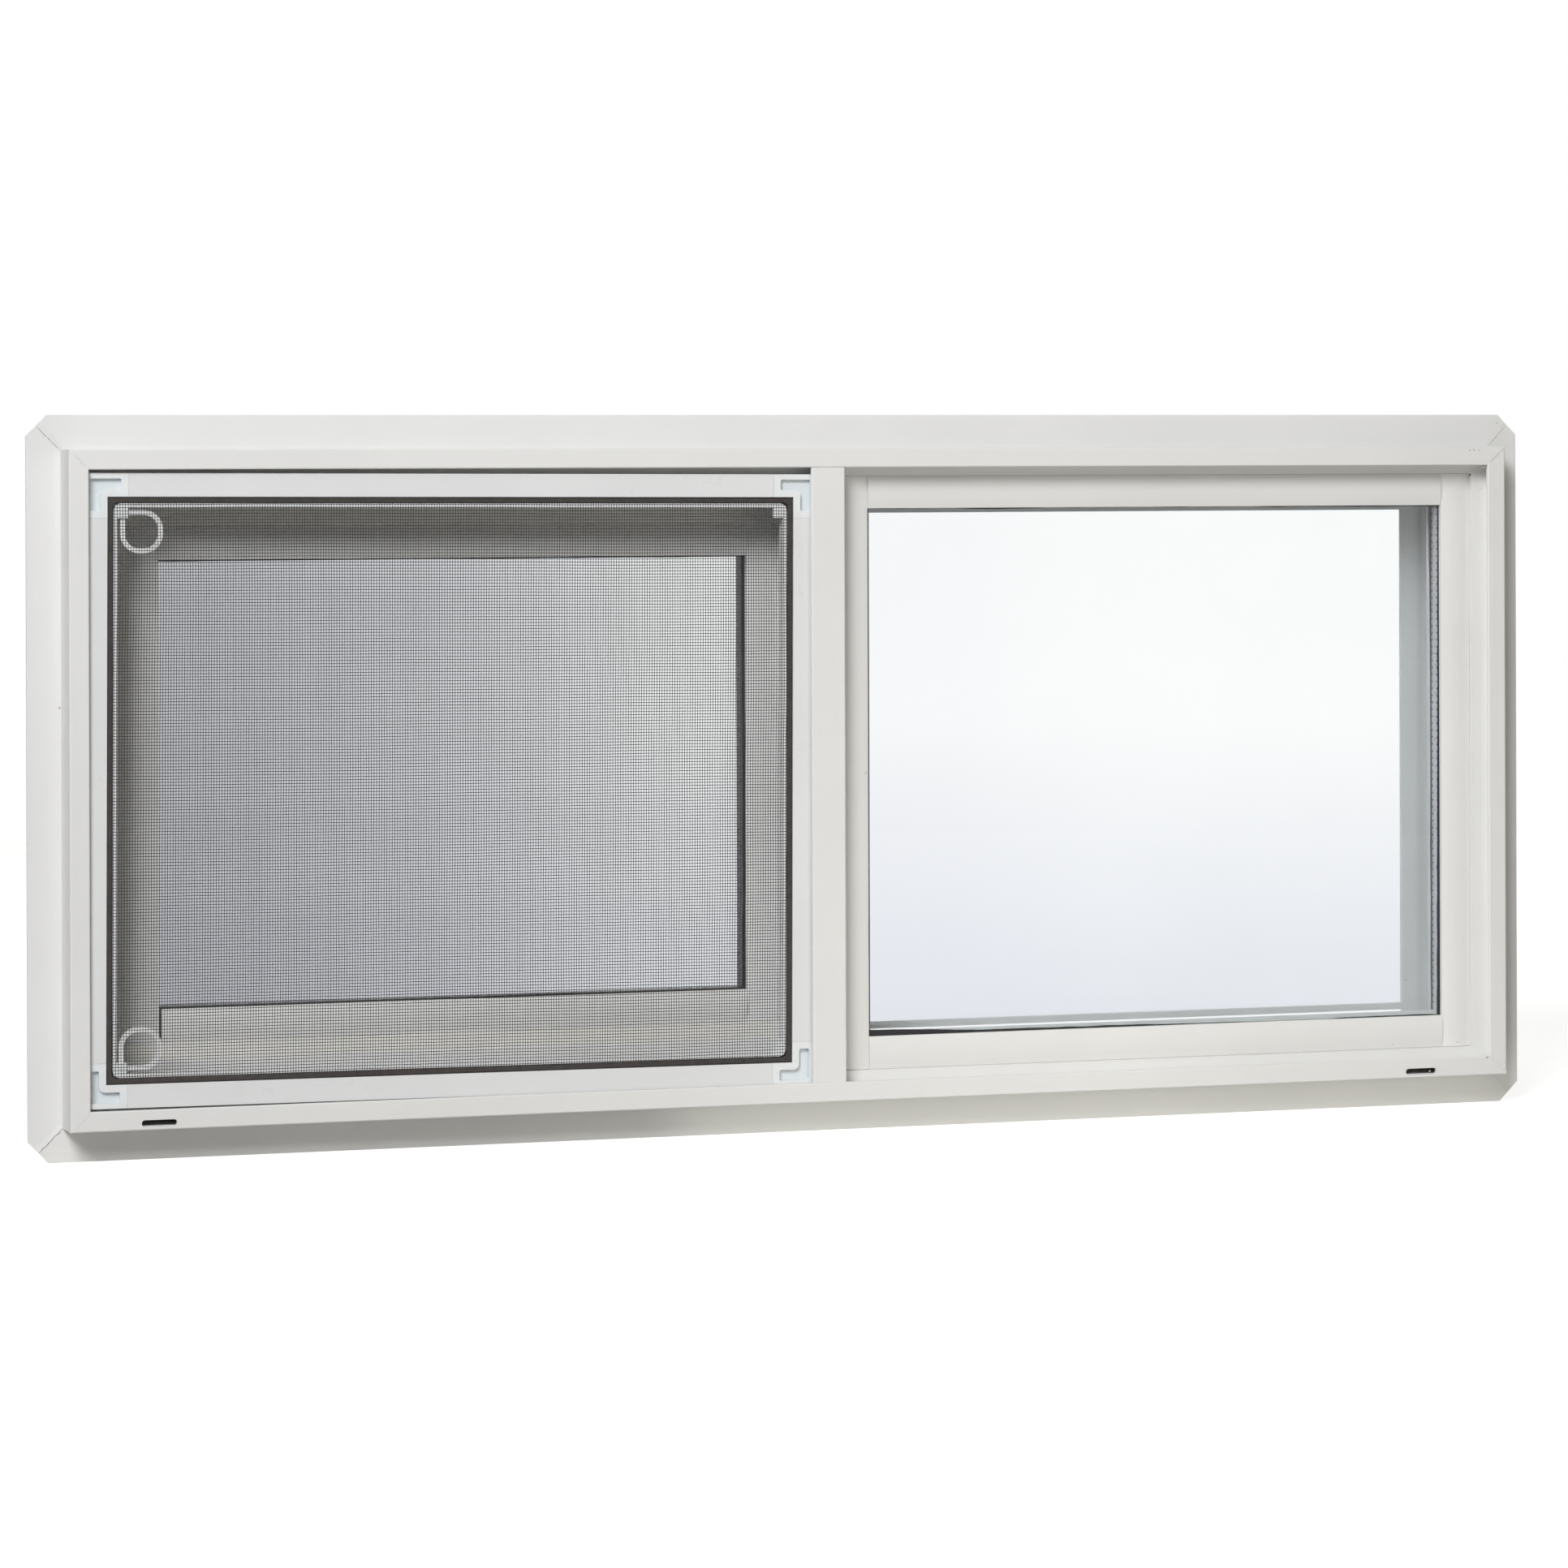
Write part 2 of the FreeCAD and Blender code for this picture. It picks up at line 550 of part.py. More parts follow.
def corner_key(*corner):
    """L-shaped corner key with a recess in its face and a thin gusset in its inner corner.

    The recess is L-shaped too, and its inner corner is rounded.
    """
    near, far = RECESS_MARGIN, KEY_LENGTH - RECESS_END_MARGIN
    bend = RECESS_MARGIN + RECESS_WIDTH
    block = [(0, 0, KEY_ROUND), (KEY_LENGTH, 0), (KEY_LENGTH, SCREEN_BAR_WIDTH),
             (SCREEN_BAR_WIDTH, SCREEN_BAR_WIDTH), (SCREEN_BAR_WIDTH, KEY_LENGTH), (0, KEY_LENGTH)]
    recess = [(near, near, RECESS_ROUND), (far, near, RECESS_ROUND), (far, bend, RECESS_ROUND),
              (bend, bend, RECESS_INNER_ROUND), (bend, far, RECESS_ROUND), (near, far, RECESS_ROUND)]
    body = corner_prism(*corner, block, SCREEN_Y, SCREEN_Y + SCREEN_BAR_DEPTH)
    gusset = corner_prism(*corner, inner_square(), SCREEN_STEP_Y, SCREEN_STEP_Y + GUSSET_THICKNESS)
    hollow = corner_prism(*corner, recess, SCREEN_Y - CUT_MARGIN, SCREEN_Y + RECESS_DEPTH)
    return body.fuse(gusset).cut(hollow).removeSplitter()


def pull_ring(*corner):
    """Flat D-shaped pull ring with a square tab, which lies against the back of a gusset."""
    y0 = SCREEN_STEP_Y + GUSSET_THICKNESS
    u0, v0 = SCREEN_BAR_WIDTH + PULL_SIDE_GAP, SCREEN_BAR_WIDTH + PULL_TOP_GAP

    def loop(shrink, key_corner_round):
        a0, a1 = u0 + shrink, u0 + PULL_SIZE - shrink
        b0, b1 = v0 + shrink, v0 + PULL_SIZE - shrink
        turn = PULL_ROUND - shrink
        outline = [(a0, b0, key_corner_round), (a1, b0, turn), (a1, b1, turn), (a0, b1, turn)]
        return corner_prism(*corner, outline, y0, y0 + PULL_THICKNESS)

    tab = corner_prism(*corner, inner_square(), y0, y0 + PULL_THICKNESS)
    return loop(0, PULL_BAR).fuse(tab).cut(loop(PULL_BAR, PULL_BAR / 2)).removeSplitter()


def screen():
    """The insect screen: bars, corner keys, spline, mesh and pulls, hung a little askew."""
    outline = screen_rectangle()
    front, back = SCREEN_Y, SCREEN_Y + SCREEN_BAR_DEPTH
    groove = ring(outline, GROOVE_OUTER, GROOVE_INNER, front - CUT_MARGIN, front + GROOVE_DEPTH,
                  GROOVE_CORNER_ROUND)
    step = outline.inset(GROOVE_INNER).plate(front - CUT_MARGIN, SCREEN_STEP_Y, GROOVE_CORNER_ROUND)

    tube = [(0, front), (SCREEN_BAR_WIDTH, front), (SCREEN_BAR_WIDTH, back), (0, back)]
    skin = SCREEN_BAR_SKIN
    hollow = [(skin, front + skin), (SCREEN_FLAT_WIDTH - skin, front + skin),
              (SCREEN_FLAT_WIDTH - skin, back - skin), (skin, back - skin)]
    pieces = {}
    for name, side in outline.sides().items():
        half = side.half - KEY_LENGTH
        pieces[f"screen_bar_{name}"] = bar(side, -half, half, tube, [hollow]).cut(groove).cut(step)
    corners = outline.corners()
    for name, corner in corners.items():
        pieces[f"screen_corner_{name}"] = corner_key(*corner).cut(groove).cut(step)
    pieces["screen_spline"] = ring(outline, GROOVE_OUTER + SPLINE_PLAY, GROOVE_INNER - SPLINE_PLAY,
                                   front + SPLINE_SETBACK, front + GROOVE_DEPTH,
                                   GROOVE_CORNER_ROUND + SPLINE_PLAY)
    pieces["screen_mesh"] = outline.inset(GROOVE_INNER + SPLINE_PLAY).plate(
        SCREEN_STEP_Y - MESH_THICKNESS, SCREEN_STEP_Y, GROOVE_CORNER_ROUND - SPLINE_PLAY)
    pieces["screen_pull_upper"] = pull_ring(*corners["top_left"])
    pieces["screen_pull_lower"] = pull_ring(*corners["bottom_left"])
    return {name: piece.rotated(outline.centre, INDOORS, SCREEN_TILT_DEG) for name, piece in pieces.items()}


def main():
    os.makedirs("parts", exist_ok=True)
    for group in (main_frame(), mullion(), fixed_light(), sash(), track_and_glides(), latch(), screen()):
        for name, shape in group.items():
            shape.translated(ORIGIN_SHIFT).exportStep(f"parts/{name}.step")


main()
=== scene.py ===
"""Finishes, insect mesh, spline, glazing tape, weld seams and stage of a horizontal sliding window."""

import math

import bpy
import numpy as np
from bpy.props import FloatProperty, FloatVectorProperty, PointerProperty
from mathutils import Matrix, Vector


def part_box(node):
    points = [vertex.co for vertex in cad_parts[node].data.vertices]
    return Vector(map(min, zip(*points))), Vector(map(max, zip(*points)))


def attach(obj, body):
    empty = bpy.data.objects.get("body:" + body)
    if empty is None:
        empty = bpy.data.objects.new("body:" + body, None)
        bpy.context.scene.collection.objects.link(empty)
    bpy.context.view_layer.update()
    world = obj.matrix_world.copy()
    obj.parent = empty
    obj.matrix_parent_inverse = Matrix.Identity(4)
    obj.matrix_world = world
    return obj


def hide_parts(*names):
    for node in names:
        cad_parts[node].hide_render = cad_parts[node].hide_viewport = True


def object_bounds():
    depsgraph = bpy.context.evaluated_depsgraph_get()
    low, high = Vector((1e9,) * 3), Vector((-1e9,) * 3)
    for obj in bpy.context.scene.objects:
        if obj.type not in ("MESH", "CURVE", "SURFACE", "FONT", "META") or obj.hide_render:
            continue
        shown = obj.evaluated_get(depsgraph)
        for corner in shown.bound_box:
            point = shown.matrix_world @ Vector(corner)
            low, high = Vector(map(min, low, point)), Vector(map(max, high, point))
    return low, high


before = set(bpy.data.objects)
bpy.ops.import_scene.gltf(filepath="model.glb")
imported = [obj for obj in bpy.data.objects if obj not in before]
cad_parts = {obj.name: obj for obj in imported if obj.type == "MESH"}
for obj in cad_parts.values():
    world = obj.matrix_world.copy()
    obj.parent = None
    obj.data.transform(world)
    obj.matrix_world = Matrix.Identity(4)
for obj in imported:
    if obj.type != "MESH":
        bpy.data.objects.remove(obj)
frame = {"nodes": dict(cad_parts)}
CAD_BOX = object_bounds()

bl_info = {
    "name": "Sliding window looks",
    "version": (1, 0, 0),
    "blender": (4, 5, 0),
    "location": "3D View > Sidebar > Window",
    "description": "Finishes and fine pieces of a horizontal sliding window",
    "category": "Object",
}

MM = 0.001
# Width of the spacer bar in the part's own model
CAD_SPACER_WIDTH = 6.5 * MM
# Where the camera stands, how far it is turned to the right, and its roll
CAMERA_PLACE = (-0.9283, -2.7976, 0.3498)
CAMERA_YAW = math.radians(18.161)
CAMERA_ROLL = math.radians(-0.174)


def colour(name, text, default):
    """A colour setting with its own default."""
    return FloatVectorProperty(name=name, description=text, default=default, size=3, subtype="COLOR",
                               min=0.0, max=1.0)


def length(name, text, default):
    """A length setting in metres."""
    return FloatProperty(name=name, description=text, default=default, min=0.0, unit="LENGTH", precision=5)


def power(name, text, default):
    """The power of a lamp, in watts."""
    return FloatProperty(name=name, description=text, default=default, unit="POWER")


class VinylSettings(bpy.types.PropertyGroup):
    """Colours of the white plastic profiles."""

    frame: colour("Frame", "Welded frame and mullion", (0.80, 0.80, 0.797))
    bead: colour("Beads", "Glazing beads", (0.80, 0.80, 0.795))
    sash: colour("Sash", "Sliding sash profiles", (0.82, 0.81, 0.775))
    track: colour("Track", "Rail in the sill", (0.78, 0.78, 0.76))
    latch: colour("Latch", "Latch and lever", (0.80, 0.80, 0.79))
    glide: colour("Glides", "Nylon glides under the sash", (0.72, 0.71, 0.66))
    grime: colour("Grime", "Specks and dirt caught on the plastic", (0.16, 0.13, 0.10))


class ScreenSettings(bpy.types.PropertyGroup):
    """Sizes and colours of the insect screen."""

    tilt: FloatProperty(name="Tilt", description="How far the screen hangs out of square in its pocket",
                        default=math.radians(0.31), subtype="ANGLE")
    upright_pitch: length("Upright pitch", "From one upright wire to the next", 25.4 * MM / 18)
    level_pitch: length("Level pitch", "From one level wire to the next", 25.4 * MM / 16)
    wire_width: length("Wire width", "Width of a wire in the plane of the mesh", 0.34 * MM)
    wire_depth: length("Wire depth", "Thickness of a wire through the mesh", 0.22 * MM)
    ripple: length("Ripple", "How far the weave wanders from straight", 0.22 * MM)
    bar: colour("Bars", "Painted metal bars", (0.765, 0.77, 0.785))
    key: colour("Corner keys", "Moulded corner keys", (0.82, 0.845, 0.86))
    pull: colour("Pulls", "Pull rings", (0.92, 0.93, 0.94))
    spline: colour("Spline", "Cord that holds the mesh in its groove", (0.030, 0.026, 0.024))
    wire: colour("Wires", "Coated mesh wires", (0.030, 0.028, 0.028))
    joint: colour("Joints", "Hairline joints between bars and corner keys", (0.46, 0.46, 0.46))
    joint_width: length("Joint width", "Width of a hairline joint", 0.13 * MM)
    key_length: length("Key length", "How far a corner key runs along a bar", 23.2 * MM)
    flat: length("Flat", "From the outer edge of a bar to the spline", 12.25 * MM)


class GlazingSettings(bpy.types.PropertyGroup):
    """Sizes and colours of the double panes."""

    glass: colour("Glass", "What the panes let through", (0.986, 0.994, 0.993))
    edge: colour("Glass edge", "Green of a cut glass edge", (0.42, 0.58, 0.52))
    shadow: colour("Glass shadow", "What a pane lets by of a lamp's light", (0.62, 0.635, 0.64))
    tape: colour("Tape", "Black glazing tape", (0.010, 0.010, 0.011))
    seal: colour("Seal", "Sealant round the edge of a double pane", (0.16, 0.165, 0.17))
    spacer: colour("Spacer", "Metal spacer between the panes", (0.80, 0.81, 0.85))
    # The sash's spacer is drawn dark as painted shade, for the shadow it lies in.
    sash_spacer: colour("Sash spacer", "Darker spacer in the sash", (0.10, 0.10, 0.10))
    butyl: colour("Butyl", "Sealant on the front of a spacer", (0.02, 0.02, 0.022))
    foot: colour("Spacer foot", "Pale front of the spacer along the sill", (0.66, 0.69, 0.68))
    spacer_move: length("Spacer move", "How far the spacer sits up and to the right", 1.8 * MM)
    spacer_width: length("Spacer width", "Width of the spacer bar", 4.5 * MM)
    hole_pitch: length("Hole pitch", "From one spacer hole to the next", 3.9 * MM)
    hole_size: length("Hole size", "Diameter of a spacer hole", 1.15 * MM)


class WeldSettings(bpy.types.PropertyGroup):
    """Sizes of the weld seams at the frame's corners."""

    fin_front: length("Fin front", "Thickness of the fin in front of its back face", 1.8 * MM)
    crack: colour("Cracks", "Dark line along a seam", (0.11, 0.10, 0.09))
    # Dark weld crumbs in this colour are dirt and also painted shade on the edges of the chips; marks in it
    # are dirt.
    grit: colour("Grit", "Dirty crumbs and marks", (0.36, 0.33, 0.285))


class StageSettings(bpy.types.PropertyGroup):
    """Floor, light and camera."""

    floor: colour("Floor", "Colour of the floor", (0.62, 0.61, 0.59))
    radius: length("Floor radius", "Radius of the floor", 2.4)
    floor_white: FloatProperty(name="Floor white", description="How white the floor is where it is seen",
                               default=0.86)
    key: power("Key light", "Power of the soft key lamp", 130.0)
    fill: FloatProperty(name="Fill light", description="Strength of the light from all round", default=0.065)
    fill_tint: colour("Fill colour", "Colour of the light from all round", (1.0, 0.95, 0.78))
    bounce: power("Bounce", "Power of the low bounce card", 0.42)
    side: power("Side", "Power of the card to the right", 0.75)
    back: power("Back light", "Power of the lamp behind the window", 6.0)
    top: power("Top", "Power of the strip above the head", 0.08)
    strip: power("Strip", "Power of the floor glow under the sill", 0.0095)
    focal: FloatProperty(name="Focal length", description="Focal length in millimetres", default=125.81)
    shift: FloatProperty(name="Shift", description="Vertical shift of the picture", default=-0.2043)


GROUPS = {
    "window_vinyl": VinylSettings,
    "window_screen": ScreenSettings,
    "window_glazing": GlazingSettings,
    "window_weld": WeldSettings,
    "window_stage": StageSettings,
}


class Nodes:
    """A node tree, with short calls that make its nodes and join them."""

    def __init__(self, tree):
        self.tree = tree
        tree.nodes.clear()

    def node(self, kind, **values):
        made = self.tree.nodes.new(kind)
        for key, value in values.items():
            setattr(made, key, value)
        return made

    def link(self, source, target):
        self.tree.links.new(source, target)

    def put(self, socket, value):
        """Links a socket, or sets its plain value."""
        if isinstance(value, bpy.types.NodeSocket):
            self.link(value, socket)
        else:
            socket.default_value = value

    def math(self, operation, a, b=0.0, c=0.0):
        made = self.node("ShaderNodeMath", operation=operation)
        for socket, value in zip(made.inputs, (a, b, c)):
            self.put(socket, value)
        return made.outputs["Value"]

    def span(self, value, low, high, to_low=0.0, to_high=1.0):
        """The value carried from one range to another and held inside it."""
        made = self.node("ShaderNodeMapRange")
        for socket, number in zip(made.inputs, (value, low, high, to_low, to_high)):
            self.put(socket, number)
        return made.outputs["Result"]

    def blend(self, share, first, second, kind="MIX"):
        """Two colours joined by a share."""
        made = self.node("ShaderNodeMix", data_type="RGBA", blend_type=kind)
        self.put(made.inputs["Factor"], share)
        for socket, value in zip([s for s in made.inputs if s.type == "RGBA"], (first, second)):
            self.put(socket, value if isinstance(value, bpy.types.NodeSocket) else (*value, 1.0))
        return [s for s in made.outputs if s.type == "RGBA"][0]

    def split(self, vector, letter):
        """One part of a vector."""
        made = self.node("ShaderNodeSeparateXYZ")
        self.link(vector, made.inputs["Vector"])
        return made.outputs[letter]

    def seen(self):
        """1 for rays from the camera, from shiny surfaces and through glass, but not for light that a
        dull surface gathers through glass. Also gives the rays' own outputs."""
        rays = self.node("ShaderNodeLightPath").outputs
        straight = self.math("LESS_THAN", rays["Diffuse Depth"], 0.5)
        bent = self.math("MAXIMUM", rays["Is Glossy Ray"], rays["Is Transmission Ray"])
        return self.math("MULTIPLY", self.math("MAXIMUM", rays["Is Camera Ray"], bent), straight), rays


class Finish(Nodes):
    """A node material that ends in one Principled shader, with short calls for its patterns."""

    def __init__(self, name, base, roughness=0.4, specular=0.5, metallic=0.0):
        self.material = bpy.data.materials.new(name)
        self.material.use_nodes = True
        super().__init__(self.material.node_tree)
        self.output = self.node("ShaderNodeOutputMaterial")
        self.shader = self.node("ShaderNodeBsdfPrincipled")
        self.link(self.shader.outputs["BSDF"], self.output.inputs["Surface"])
        self.shader.inputs["Base Color"].default_value = (*base, 1.0)
        self.shader.inputs["Roughness"].default_value = roughness
        self.shader.inputs["Specular IOR Level"].default_value = specular
        self.shader.inputs["Metallic"].default_value = metallic
        self.place = self.node("ShaderNodeTexCoord").outputs["Object"]

    def scaled(self, scale):
        """Object coordinates stretched by a factor along each axis."""
        mapping = self.node("ShaderNodeMapping")
        mapping.inputs["Scale"].default_value = scale
        self.link(self.place, mapping.inputs["Vector"])
        return mapping.outputs["Vector"]

    def noise(self, scale, detail=3.0, roughness=0.55, stretch=(1, 1, 1)):
        made = self.node("ShaderNodeTexNoise")
        self.link(self.scaled(stretch), made.inputs["Vector"])
        made.inputs["Scale"].default_value = scale
        made.inputs["Detail"].default_value = detail
        made.inputs["Roughness"].default_value = roughness
        return made.outputs["Fac"]

    def specks(self, scale, core, rim, rarity):
        """Round specks at scattered points: whole inside the core and gone past the rim. Each point has a
        chance value, and those under the rarity stay bare."""
        made = self.node("ShaderNodeTexVoronoi")
        self.link(self.place, made.inputs["Vector"])
        made.inputs["Scale"].default_value = scale
        chance = self.node("ShaderNodeSeparateColor")
        self.link(made.outputs["Color"], chance.inputs["Color"])
        spot = self.span(made.outputs["Distance"], core, rim, 1.0, 0.0)
        return self.math("MULTIPLY", spot, self.math("GREATER_THAN", chance.outputs["Red"], rarity))

    def axis(self, letter):
        """The place along one axis of the part."""
        return self.split(self.place, letter)

    def facing(self, letter):
        """How far the surface faces along one axis."""
        return self.split(self.node("ShaderNodeNewGeometry").outputs["Normal"], letter)

    def bump(self, height, strength, distance):
        made = self.node("ShaderNodeBump")
        made.inputs["Strength"].default_value = strength
        made.inputs["Distance"].default_value = distance
        self.link(height, made.inputs["Height"])
        self.link(made.outputs["Normal"], self.shader.inputs["Normal"])

    def wear(self, colour_in, roughness_in):
        self.put(self.shader.inputs["Base Color"], colour_in)
        self.put(self.shader.inputs["Roughness"], roughness_in)

    def let_through(self, share, tint=(1.0, 1.0, 1.0)):
        """Makes the surface clear, with a tint, for a share of the rays."""
        clear, mixed = self.node("ShaderNodeBsdfTransparent"), self.node("ShaderNodeMixShader")
        clear.inputs["Color"].default_value = (*tint, 1.0)
        for socket, source in zip(mixed.inputs, (share, self.shader.outputs["BSDF"], clear.outputs["BSDF"])):
            self.link(source, socket)
        self.link(mixed.outputs["Shader"], self.output.inputs["Surface"])


def shade(base, factor):
    """A colour made darker or lighter."""
    return tuple(min(1.0, c * factor) for c in base)


ALONG = {"X": (0.04, 1, 1), "Z": (1, 1, 0.04)}


def vinyl(name, base, run, grime, rarity=0.93):
    """Extruded vinyl: faint die lines along the run, slow clouds of tone, grain, and a few specks of dirt."""
    made = Finish(name, base, 0.42, 0.42)
    lines = made.noise(420.0, 2.0, 0.6, ALONG[run])
    clouds = made.noise(9.0, 3.0, 0.6)
    tone = made.blend(made.span(clouds, 0.3, 0.7), shade(base, 0.972), shade(base, 1.018))
    tone = made.blend(made.span(lines, 0.35, 0.75, 0.0, 0.35), tone, shade(base, 0.965))
    speck = made.specks(62.0, 0.022, 0.055, rarity)
    tone = made.blend(made.math("MULTIPLY", speck, 0.55), tone, grime)
    rough = made.span(made.noise(55.0, 4.0), 0.3, 0.7, 0.36, 0.50)
    made.wear(tone, rough)
    fine = made.math("MULTIPLY", made.noise(1800.0, 2.0), 0.3)
    made.bump(made.math("MULTIPLY_ADD", lines, 0.7, fine), 0.16, 0.10 * MM)
    return made.material


def moulded(name, base, grime, gloss=0.36, milky=0.0, recess=None, middle=None, half=None):
    """Moulded plastic: fine orange peel, slow cloudiness and a little dust. A recess, given by the depths of
    its mouth and floor, gets painted shade outside a rectangle of given middle and half sizes: its floor
    darker and bluer, its walls darker still."""
    made = Finish(name, base, gloss, 0.45)
    made.shader.inputs["Subsurface Weight"].default_value = milky
    made.shader.inputs["Subsurface Radius"].default_value = (0.5, 0.6, 0.7)
    made.shader.inputs["Subsurface Scale"].default_value = 1.2 * MM
    clouds = made.noise(70.0, 3.0, 0.6)
    tone = made.blend(made.span(clouds, 0.3, 0.7), shade(base, 0.965), shade(base, 1.02))
    if recess:
        gaps = [made.math("SUBTRACT", made.axis(letter), place) for letter, place in zip("XZ", middle)]
        away = [made.math("GREATER_THAN", made.math("ABSOLUTE", gap), far) for gap, far in zip(gaps, half)]
        # Painted shade in the recess: darker and bluer towards its floor, darker still on its walls.
        deep = made.math("MULTIPLY", made.span(made.axis("Y"), *recess), made.math("MAXIMUM", *away))
        wall_shade = made.math("SUBTRACT", 1.0, made.math("ABSOLUTE", made.math("MULTIPLY_ADD", deep, 2.0, -1.0)))
        tone = made.blend(deep, tone, (base[0] * 0.90, base[1] * 0.935, base[2] * 0.955))
        tone = made.blend(wall_shade, tone, (base[0] * 0.70, base[1] * 0.74, base[2] * 0.77))
    dust = made.span(made.noise(420.0, 3.0, 0.7), 0.66, 0.8, 0.0, 0.14)
    made.wear(made.blend(dust, tone, grime), made.span(clouds, 0.3, 0.7, gloss - 0.05, gloss + 0.08))
    made.bump(made.noise(1300.0, 2.0), 0.12, 0.08 * MM)
    return made.material


def painted(name, base, run, grime):
    """Painted rolled metal: faint roll lines, a satin coat, thin scratches and a little dust."""
    made = Finish(name, base, 0.32, 0.5)
    lines = made.noise(650.0, 2.0, 0.6, ALONG[run])
    clouds = made.noise(14.0, 2.0)
    tone = made.blend(made.span(clouds, 0.3, 0.7), shade(base, 0.975), shade(base, 1.02))
    scratch = made.span(made.noise(900.0, 2.0, 0.5, ALONG[run]), 0.70, 0.76, 0.0, 0.25)
    speck = made.specks(75.0, 0.018, 0.045, 0.93)
    tone = made.blend(scratch, tone, shade(base, 0.86))
    made.wear(made.blend(made.math("MULTIPLY", speck, 0.5), tone, grime),
              made.span(made.noise(60.0, 4.0), 0.3, 0.7, 0.27, 0.40))
    made.bump(lines, 0.12, 0.08 * MM)
    return made.material


def rubber(name, base, dust):
    """Dark rubbery cord or tape: pores, a dull bloom and a little pale dust."""
    made = Finish(name, base, 0.6, 0.4)
    bloom = made.span(made.noise(260.0, 4.0, 0.65), 0.35, 0.75)
    tone = made.blend(bloom, shade(base, 0.65), shade(base, 1.55))
    motes = made.span(made.noise(1500.0, 2.0, 0.6), 0.70, 0.80, 0.0, 0.30)
    made.wear(made.blend(motes, tone, dust), made.span(bloom, 0.0, 1.0, 0.48, 0.72))
    made.bump(made.noise(900.0, 3.0, 0.6), 0.35, 0.15 * MM)
    return made.material


def wire_coat(name, base):
    """Coated mesh wire: charcoal with a dull sheen, a little paler where dust has settled."""
    made = Finish(name, base, 0.5, 0.45)
    dust = made.span(made.noise(130.0, 4.0, 0.65), 0.45, 0.8, 0.0, 0.6)
    made.wear(made.blend(dust, base, shade(base, 2.2)), made.span(dust, 0.0, 0.6, 0.42, 0.62))
    made.bump(made.noise(2600.0, 2.0), 0.2, 0.05 * MM)
    return made.material


def pane(name, tint, edge, shadow):
    """Float glass: clear faces with a breath of haze, green cut edges, and part of the lamps' light let
    through to what is behind."""
    made = Finish(name, tint, 0.0, 0.5)
    made.shader.inputs["Transmission Weight"].default_value = 1.0
    made.shader.inputs["IOR"].default_value = 1.5
    face = made.span(made.math("ABSOLUTE", made.facing("Y")), 0.4, 0.6)
    haze = made.blend(made.span(made.noise(7.0, 3.0), 0.35, 0.7), tint, shade(tint, 0.985))
    made.link(made.blend(face, edge, haze), made.shader.inputs["Base Color"])
    made.let_through(made.node("ShaderNodeLightPath").outputs["Is Shadow Ray"], shadow)
    return made.material


def spacer_metal(name, base, pitch, size, rows, front=None, foot=None, level=0.0):
    """Mill-finish spacer bar: rolled streaks, and two rows of small dark holes along its run. Its front
    carries sealant, which is pale below a level, and its upper face along the sill is smooth and painted
    bright as a highlight."""
    made = Finish(name, base, 0.34, 0.5, 0.85)
    run = made.math("ADD", made.axis("X"), made.axis("Z"))
    step = made.math("SUBTRACT", made.math("FRACT", made.math("DIVIDE", run, pitch)), 0.5)
    along = made.math("MULTIPLY", step, pitch)
    square = made.math("MULTIPLY", along, along)
    gaps = []
    for row in rows:
        across = made.math("SUBTRACT", made.axis("Y"), row)
        gaps.append(made.math("SQRT", made.math("MULTIPLY_ADD", across, across, square)))
    nearest = made.math("MINIMUM", *gaps)
    hole = made.span(nearest, size * 0.4, size * 0.6, 1.0, 0.0)
    streak = made.span(made.noise(500.0, 3.0, 0.6), 0.3, 0.7)
    tone = made.blend(streak, shade(base, 0.82), shade(base, 1.08))
    tone = made.blend(hole, tone, (0.03, 0.03, 0.035))
    rough = made.span(streak, 0.0, 1.0, 0.26, 0.44)
    if front:
        # Upward faces are painted near white as a highlight, and made smooth.
        upper = made.math("GREATER_THAN", made.facing("Z"), 0.6)
        face = made.math("LESS_THAN", made.facing("Y"), -0.6)
        sealant = made.blend(made.math("LESS_THAN", made.axis("Z"), level), front, foot)
        tone = made.blend(face, made.blend(upper, tone, (0.95, 0.95, 0.96)), sealant)
        rough = made.span(upper, 0.0, 1.0, rough, 0.05)
        made.put(made.shader.inputs["Metallic"], made.span(face, 0.0, 1.0, 0.85, 0.0))
    made.wear(tone, rough)
    made.bump(made.math("SUBTRACT", streak, hole), 0.3, 0.2 * MM)
    return made.material


def build(name, grid, faces, material, body, replaces=(), smooth=True):
    """Makes one mesh piece from a grid of points and its faces, turns the faces outwards and lets the piece
    ride on a body."""
    points = grid.reshape(-1, 3)
    polygons = outward(points, faces)
    corners = np.concatenate([p.ravel() for p in polygons])
    totals = np.concatenate([np.full(len(p), p.shape[1]) for p in polygons])
    starts = np.concatenate([[0], np.cumsum(totals)[:-1]])
    mesh = bpy.data.meshes.new(name)
    mesh.vertices.add(len(points))
    mesh.vertices.foreach_set("co", points.astype(np.float32).ravel())
    mesh.loops.add(len(corners))
    mesh.loops.foreach_set("vertex_index", corners.astype(np.int32))
    mesh.polygons.add(len(totals))
    mesh.polygons.foreach_set("loop_start", starts.astype(np.int32))
    mesh.polygons.foreach_set("loop_total", totals.astype(np.int32))
    mesh.polygons.foreach_set("use_smooth", (totals == 4) & smooth)
    mesh.update(calc_edges=True)
    if mesh.validate():
        raise RuntimeError(f"{name} has faces that do not hold together")
    mesh.materials.append(material)
    piece = bpy.data.objects.new(name, mesh)
    bpy.context.scene.collection.objects.link(piece)
    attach(piece, body)
    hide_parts(*replaces)
    return piece


